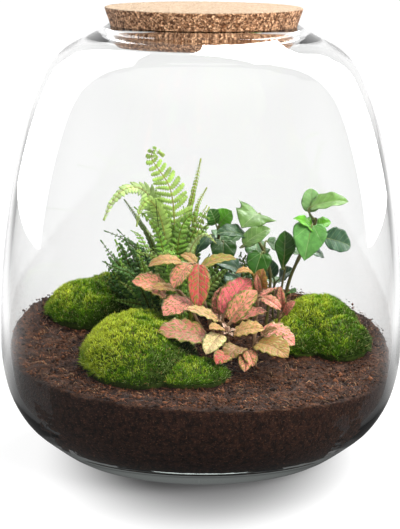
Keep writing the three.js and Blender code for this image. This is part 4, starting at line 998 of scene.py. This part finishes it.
# Shoots and leaves as in the ivies' list, but with a leaf's bow and tint at the end of its row
FITTONIA = {
    "fittonia_tall": ((9, -3), [(4, -4, 88), (0, -6, 104), (-3, -8, 117)], 1.2, 0.6, [
        (0.97, (-12, -8, 121), (-33, -14, 120), 10, (0, -0.5, 1), 0.16, "bronze"),
        (0.95, (-4, -3, 120), (-13, 5, 124), 8, (0, -0.4, 1), 0.12, "bronze"),
        (0.93, (-8, -12, 121), (-17, -22, 108), 13, (-0.5, -0.9, 0.7), 0.1, "rose"),
        (0.98, (-2, -12, 121), (-2, -24, 96), 14, (0.1, -1, 0.4), 0.1, "red"),
        (0.96, (0, -6, 118), (22, 2, 122), 9, (0, -0.5, 1), 0.14, "olive"),
    ]),
    "fittonia_left": ((3, 2), [(-3, 0, 84), (-9, -3, 96), (-14, -5, 103)], 1.1, 0.6, [
        (0.97, (-22, -5, 100), (-43, -12, 110), 18, (-0.1, -0.7, 1), 0.16, "rose"),
        (0.95, (-16, -9, 104), (-30, -19, 107), 9, (0, -0.6, 1), 0.1, "bronze"),
        (0.9, (-6, -12, 97), (-23, -31, 93), 19, (-0.1, -0.7, 1), 0.1, "pink"),
        (0.88, (-12, 2, 96), (-22, 6, 94), 10, (0, 0.3, 1), 0.1, "pink"),
    ]),
    "fittonia_crown": ((16, -14), [(15, -16, 78), (14, -20, 86)], 1.5, 0.7, [
        (0.96, (10, -25, 89), (-9, -34, 98), 11, (0, -0.5, 1), 0.06, "peach"),
        (0.97, (14, -18, 91), (30, -4, 111), 19, (-0.3, -1, 0.9), 0.1, "magenta"),
        (0.9, (11, -13, 90), (15, -4, 106), 12, (-0.4, -1, 0.6), 0.1, "pink"),
        (0.95, (18, -28, 89), (34, -21, 107), 15, (-0.5, -1, 0.8), 0.1, "rose"),
        (0.85, (20, -16, 86), (41, -12, 92), 13, (0, -0.3, 1), 0.1, "pink"),
        (0.8, (12, -8, 86), (16, 10, 90), 15, (0, 0.3, 1), 0.1, "pink"),
    ]),
    "fittonia_front": ((18, -27), [(17, -30, 75), (15, -34, 83)], 1.3, 0.7, [
        (0.97, (4, -38, 81), (-26, -49, 87), 22, (-0.1, -0.6, 1), 0.06, "salmon"),
        (0.96, (13, -40, 87), (5, -48, 89), 9, (0, -0.5, 1), 0.1, "bronze"),
        (0.9, (12, -42, 84), (3, -55, 75), 13, (-0.3, -1, 0.8), 0.1, "cream"),
        (0.95, (20, -39, 84), (38, -44, 88), 14, (0, -0.5, 1), 0.1, "bronze"),
    ]),
    "fittonia_front_low": ((25, -40), [(25, -41, 70), (24, -44, 76)], 1.2, 0.6, [
        (0.9, (16, -56, 76), (9, -67, 72), 11, (-0.1, -0.9, 0.8), 0.1, "red"),
        (0.95, (24, -48, 77), (15, -62, 73), 14, (0, -0.4, 1), 0.2, "brown"),
        (0.86, (27, -49, 74), (26, -62, 66), 9, (0, -1, 0.8), 0.1, "rose"),
        (0.9, (28, -49, 76), (31, -60, 69), 9, (0.1, -1, 0.8), 0.1, "rose"),
    ]),
    "fittonia_right": ((33, -35), [(33, -37, 70), (33, -39, 75)], 1.2, 0.6, [
        (0.96, (34, -43, 79), (52, -57, 74), 19, (0.1, -0.6, 1), 0.12, "amber"),
        (0.9, (37, -33, 85), (57, -38, 77), 17, (0.1, -0.6, 1), 0.1, "pink"),
        (0.94, (36, -38, 82), (46, -42, 88), 8, (0, -0.4, 1), 0.1, "brown"),
    ]),
    "fittonia_back_right": ((33, -12), [(34, -10, 84), (35, -7, 97), (36, -4, 107)], 1.1, 0.55, [
        (0.97, (33, -4, 112), (21, -9, 115), 8, (0, -0.3, 1), 0.24, "orange"),
        (0.99, (38, -8, 106), (38, -14, 119), 11, (-0.4, -0.9, 0.8), 0.1, "orange"),
        (0.9, (36, -9, 104), (34, -13, 115), 5, (-0.3, -1, 0.3), 0.1, "pink"),
        (0.85, (38, -10, 100), (49, -17, 94), 9, (0.2, -0.8, 1), 0.1, "pink"),
        (0.8, (38, -2, 98), (50, 8, 102), 12, (0, 0.3, 1), 0.1, "pink"),
    ]),
    "fittonia_far_right": ((45, -8), [(48, -7, 82), (50, -6, 90)], 0.9, 0.5, [
        (0.97, (51, -8, 93), (49, -9, 107), 6, (-0.4, -1, 0.3), 0.1, "pink"),
        (0.9, (52, -11, 90), (58, -15, 99), 7, (0.2, -0.7, 1), 0.1, "pink"),
    ]),
}
# The newest leaves, still closed, at the crown: base, tip and width
NEW_LEAVES = [
    ((14, -38, 84), (10, -41, 88), 3),
    ((16, -37, 84), (16, -42, 89), 3.2),
    ((17, -38, 84), (21, -41, 87), 2.8),
    ((15, -39, 83.5), (14, -44, 85), 3),
    ((17, -39, 83.5), (19, -44, 84), 2.6),
    ((15, -37, 85), (13, -36, 90), 2.6),
]


def nerve_leaf():
    """Pink with a lighter net of veins, and green in specks between them and along the edge."""
    nerve = Finish("nerve_leaf")
    tint = nerve.note("tint")
    across, rank, _ = nerve.parts(nerve.note("vein", "Vector"))
    chart = nerve.add("CombineXYZ", {0: nerve.math("MULTIPLY", rank, 1.7),
                                     1: nerve.math("MULTIPLY", across, 0.62)})
    cells = nerve.add("TexVoronoi", {"Vector": chart, "Scale": 1.0, "Randomness": 0.85},
                      voronoi_dimensions="2D")
    ragged = nerve.noise(2.6, chart, 3.0)
    reach = nerve.math("ADD", nerve.math("MULTIPLY", nerve.note("tint", "Alpha"), 0.62),
                       nerve.math("MULTIPLY", ragged, 0.25))
    speck = nerve.between(nerve.math("SUBTRACT", reach, cells), 0.06, 0.16)
    rim = nerve.between(nerve.note("net", "Alpha"), 0.78, 0.92)
    green = nerve.math("MAXIMUM", nerve.math("MULTIPLY", speck, 0.95), nerve.math("MULTIPLY", rim, 0.85))
    where = nerve.add("TexCoord", {}, "Object")
    mottle = nerve.between(nerve.noise(420.0, where), 0.3, 0.7, 0.8, 1.2)
    colour = nerve.blend(green, nerve.dappled(tint, mottle), nerve.note("net"))
    mid = nerve.between(nerve.math("ABSOLUTE", across), 0.15, 0.5, 1, 0)
    side = nerve.between(from_side_vein(nerve, rank), 0.03, 0.1, 0.7, 0)
    veins = nerve.math("MAXIMUM", mid, side)
    rosy = nerve.blend(0.35, tint, (0.85, 0.45, 0.36))
    colour = nerve.blend(nerve.math("MULTIPLY", veins, 0.7), colour, rosy)
    height = nerve.math("SUBTRACT", nerve.math("MULTIPLY", cells, -0.8), veins)
    body = nerve.add("BsdfPrincipled", {"Base Color": colour, "Roughness": 0.45, "Specular IOR Level": 0.35,
                                        "Normal": nerve.bump(height, 0.0005)})
    behind = nerve.add("BsdfTranslucent", {"Color": colour})
    return nerve.shown(nerve.add("MixShader", {0: 0.25, 1: body, 2: behind}))


nerve_finish = nerve_leaf()
for seed, (name, (root, path, radius, stalk, leaves)) in enumerate(FITTONIA.items()):
    growth, line = Growth(), Line([*foot(root), *path])
    shoot(growth, line, radius, FITTONIA_STEM, [row[0] for row in leaves])
    for i, (at, base, tip, width, face, bow, tone) in enumerate(leaves):
        leaf(growth, line.at(at), base, tip, width, face, "fittonia", stalk, 200 + 10 * seed + i,
             *FITTONIA_TINTS[tone], FITTONIA_STEM, bow=bow, fold=0.2, wave=0.055, folds=4.3, quilt=0.5)
    if name == "fittonia_front":
        for i, (base, tip, width) in enumerate(NEW_LEAVES):
            leaf(growth, line.at(0.97), base, tip, width, (0, -0.6, 1), "oval", 0.3, 300 + i,
                 (0.8, 0.55, 0.42), (0.55, 0.5, 0.3), 0.1, FITTONIA_STEM, bow=0.2, fold=0.5)
    growth.become(name, nerve_finish, "fittonia_leaf", [name])

# The cork lid: a tapered plug turned from pressed cork granules, with broken edges. It sits by
# its own weight on the slanted side in the mouth, and its sanded top is paler than its side.
CORK_BOTTOM, CORK_TOP, CORK_LOW_RADIUS, CORK_TAPER, CORK_ROUND = 252.6, 278, 51.95, 0.34, 1.2
CORK_SIDE_PITS, CORK_TOP_PITS = 1.1, 0.3
CORK_TURNS = 210


def cork_plug():
    """The skin of the plug, with the pits that broken granules left."""
    turns = 2 * np.pi * np.arange(CORK_TURNS) / CORK_TURNS
    out = np.column_stack([np.sin(turns), -np.cos(turns), np.zeros(CORK_TURNS)])

    def radius(z):
        return CORK_LOW_RADIUS + CORK_TAPER * (z - CORK_BOTTOM)

    low = [(r, CORK_BOTTOM) for r in np.linspace(4, CORK_LOW_RADIUS - CORK_ROUND, 14)]
    side = [(radius(z), z) for z in np.linspace(CORK_BOTTOM + CORK_ROUND, CORK_TOP - CORK_ROUND, 26)]
    high = [(r, CORK_TOP) for r in np.linspace(radius(CORK_TOP) - CORK_ROUND, 3, 26)]
    corner = (radius(CORK_TOP) - 0.3 * CORK_ROUND, CORK_TOP - 0.3 * CORK_ROUND)
    rings = []
    for r, z in low + side + [corner] + high:
        ring = out * r + (0, 0, z)
        deep = CORK_SIDE_PITS if r > CORK_LOW_RADIUS - 2 and z < CORK_TOP else 0.1
        pits = np.clip(grain(ring, 1.5, 2.0) - 0.1, 0, 1)
        pits = pits + 0.6 * np.clip(grain(ring, 3.2, 9.0) - 0.15, 0, 1)
        ring -= out * (deep * pits)[:, None]
        ring[:, 2] -= np.where(z > CORK_TOP - 0.1, CORK_TOP_PITS, 0) * pits
        rings.append(ring)
    return skinned((0, 0, CORK_BOTTOM), np.array(rings), (0, 0, CORK_TOP))


def pressed_cork():
    """Granules of many browns with dark seams and flecks of bark, paler on the sanded top."""
    cork = Finish("pressed_cork")
    where = cork.add("TexCoord", {}, "Object")
    sanded = cork.between(cork.parts(where)[2], (CORK_TOP - 0.9) * MM, (CORK_TOP - 0.2) * MM)
    warp = cork.add("TexNoise", {"Vector": where, "Scale": 520.0, "Detail": 4.0}, 1)
    shift = cork.add("VectorMath", {0: warp, 3: 0.0026}, operation="SCALE")
    cell = {"Vector": cork.add("VectorMath", {0: where, 1: shift}), "Scale": 760.0}
    tone = cork.add("SeparateColor", {0: cork.add("TexVoronoi", cell, "Color")})
    seams = cork.between(cork.add("TexVoronoi", cell, feature="DISTANCE_TO_EDGE"), 0.0, 0.16, 1, 0)
    rough_side = cork.blend(tone, (0.27, 0.108, 0.042), (1.0, 0.59, 0.335))
    bark = cork.between(cork.noise(640.0, where), 0.49, 0.58)
    dark = cork.math("MAXIMUM", cork.math("MULTIPLY", seams, 0.55), cork.math("MULTIPLY", bark, 0.9))
    rough_side = cork.blend(dark, rough_side, (0.055, 0.017, 0.006))
    fine_top = cork.blend(tone, (0.45, 0.31, 0.195), (0.63, 0.49, 0.35))
    faint = cork.math("MULTIPLY", cork.math("MAXIMUM", seams, bark), 0.25)
    fine_top = cork.blend(faint, fine_top, (0.22, 0.11, 0.05))
    colour = cork.blend(sanded, rough_side, fine_top)
    relief = cork.math("SUBTRACT", tone, cork.math("MULTIPLY", dark, 1.6))
    return cork.shown(cork.add("BsdfPrincipled", {"Base Color": colour, "Roughness": 0.85,
                                                  "Specular IOR Level": 0.25,
                                                  "Normal": cork.bump(relief, 0.0011, 0.9)}))


piece("cork_plug", *cork_plug(), pressed_cork(), "cork", ["cork_lid"])

# The studio: a white table in a white room, with a tall soft box on each side of the jar, one over
# it and one in front on the right. The room is dimmer where the glass mirrors it, but white where
# it is seen right through the jar, past both walls, so that the glass stays clear.
THROUGH_THE_JAR = 3.5


def soft_box(name, place, aim, width, height, power):
    lamp = bpy.data.objects.new(name, bpy.data.lights.new(name, "AREA"))
    lamp.data.shape, lamp.data.energy = "RECTANGLE", power
    lamp.data.size, lamp.data.size_y = width, height
    lamp.location = place
    lamp.rotation_euler = (Vector(aim) - Vector(place)).to_track_quat("-Z", "Y").to_euler()
    bpy.context.scene.collection.objects.link(lamp)
    return lamp


left_box = soft_box("left_box", (-1.02, 0.72, 1.16), (0, 0, 1.0), 1.05, 2.2, 40)
right_box = soft_box("right_box", (1.02, 0.72, 1.16), (0, 0, 1.0), 0.8, 2.2, 34)
left_box.visible_diffuse = right_box.visible_diffuse = False
soft_box("top_box", (0.5, 0.7, 1.6), (0, 0, 0.1), 0.95, 0.9, 42)
front_box = soft_box("front_box", (1.0, -0.9, 1.1), (0, 0, 0.15), 0.9, 0.7, 46)
front_box.visible_glossy = front_box.visible_transmission = False


def white_floor():
    """A white table whose brightness is painted into its glow: dark in an oval round the jar, a painted
    shadow, and white further out, so that it fades into the white behind it. For the rays that the glass
    mirrors it shows a
    painted reflection instead: dark over its near half, pale under the jar. Away from the jar it is white
    again where it is seen right through the jar."""
    table = Finish("white_floor")
    where = table.add("TexCoord", {}, "Object")
    paint = table.blend(table.noise(3.0, where), (0.145, 0.145, 0.145), (0.155, 0.155, 0.155))
    by_glass = table.ray("Is Glossy Ray")
    # Painted shadow: the glow is dark in an oval round the jar and rises to white further out
    oval = table.add("Mapping", {"Vector": where, "Scale": (9.7, 5.15, 1.0), "Location": (-0.02, 0.0, 0.0)})
    away = table.add("VectorMath", {0: oval}, "Value", operation="LENGTH")
    painted_glow = table.between(away, 0.45, 1.04, 0.045, 0.90)
    x, y, _ = table.parts(where)
    aside = table.math("SUBTRACT", table.math("ABSOLUTE", x), table.math("MULTIPLY", y, 0.3))
    # Painted reflection for the glass: dark over the near half of the table, lighter to the sides, pale
    # under the jar
    painted_reflection = table.math("MULTIPLY", table.between(y, 0.0, 0.35, 0.07, 1.08),
                       table.between(aside, 0.2, 0.5, 1.0, 0.4))
    from_jar = table.add("VectorMath", {0: where}, "Value", operation="LENGTH")
    painted_reflection = table.math("MAXIMUM", painted_reflection, table.between(from_jar, 0.06, 0.085, 0.17, 0.0))
    crossed = table.math("GREATER_THAN", table.ray("Transmission Depth"), THROUGH_THE_JAR)
    beyond = table.math("MULTIPLY", crossed, table.between(from_jar, 0.16, 0.36, 0.0, 1.0))
    painted_glow = table.add("Mix", {0: by_glass, 2: painted_glow, 3: table.math("MAXIMUM", painted_reflection, beyond)})
    paint = table.blend(by_glass, paint, (0.0, 0.0, 0.0))
    return table.shown(table.add("BsdfPrincipled", {
        "Base Color": paint, "Roughness": 0.9, "Specular IOR Level": 0.0,
        "Emission Color": (1, 1, 1, 1), "Emission Strength": painted_glow}))


floor_mesh = bpy.data.meshes.new("floor")
floor_mesh.from_pydata([(-9, -9, 0), (9, -9, 0), (9, 9, 0), (-9, 9, 0)], [], [(0, 1, 2, 3)])
floor_mesh.materials.append(white_floor())
floor = bpy.data.objects.new("floor", floor_mesh)
bpy.context.scene.collection.objects.link(floor)

room = Finish("room", bpy.data.worlds)
_, depth, height = room.parts(room.add("TexCoord", {}, "Generated"))
behind = room.between(depth, 0.6, 0.93, 0.05, 1.0)
above = room.between(height, 0.5, 0.85, 0.05, 0.55)
crossed = room.math("GREATER_THAN", room.ray("Transmission Depth"), THROUGH_THE_JAR)
mirrored = room.math("MAXIMUM", room.math("MAXIMUM", behind, above), crossed)
lit = room.add("Mix", {0: room.ray("Is Diffuse Ray"), 2: mirrored, 3: 0.93})
strength = room.add("Mix", {0: room.ray("Is Camera Ray"), 2: lit, 3: 1.05})
light = room.add("Background", {"Color": (1, 1, 1, 1), "Strength": strength})
bpy.context.scene.world = room.shown(light, "World")

# The photographer's place: 1.1 m in front of the jar and a little higher than its lid, looking down
# at it with a long lens.
camera = bpy.data.objects.new("camera", bpy.data.cameras.new("camera"))
camera.data.sensor_fit, camera.data.sensor_height, camera.data.lens = "VERTICAL", 36, 122.3
stand = Matrix.Translation((-0.001, -1.1, 0.3412))
tipped = Matrix.Rotation(math.radians(90 - 11.45), 4, "X")
rolled = Matrix.Rotation(math.radians(0.5), 4, "Z")
camera.matrix_world = stand @ tipped @ rolled
bpy.context.scene.collection.objects.link(camera)
scene = bpy.context.scene
scene.camera = camera
scene.view_settings.view_transform = "Standard"
scene.cycles.use_denoising = True
scene.cycles.max_bounces, scene.cycles.transmission_bounces = 14, 12
scene.cycles.transparent_max_bounces = 12
scene.cycles.diffuse_bounces, scene.cycles.glossy_bounces = 4, 6
scene.cycles.caustics_reflective = scene.cycles.caustics_refractive = True
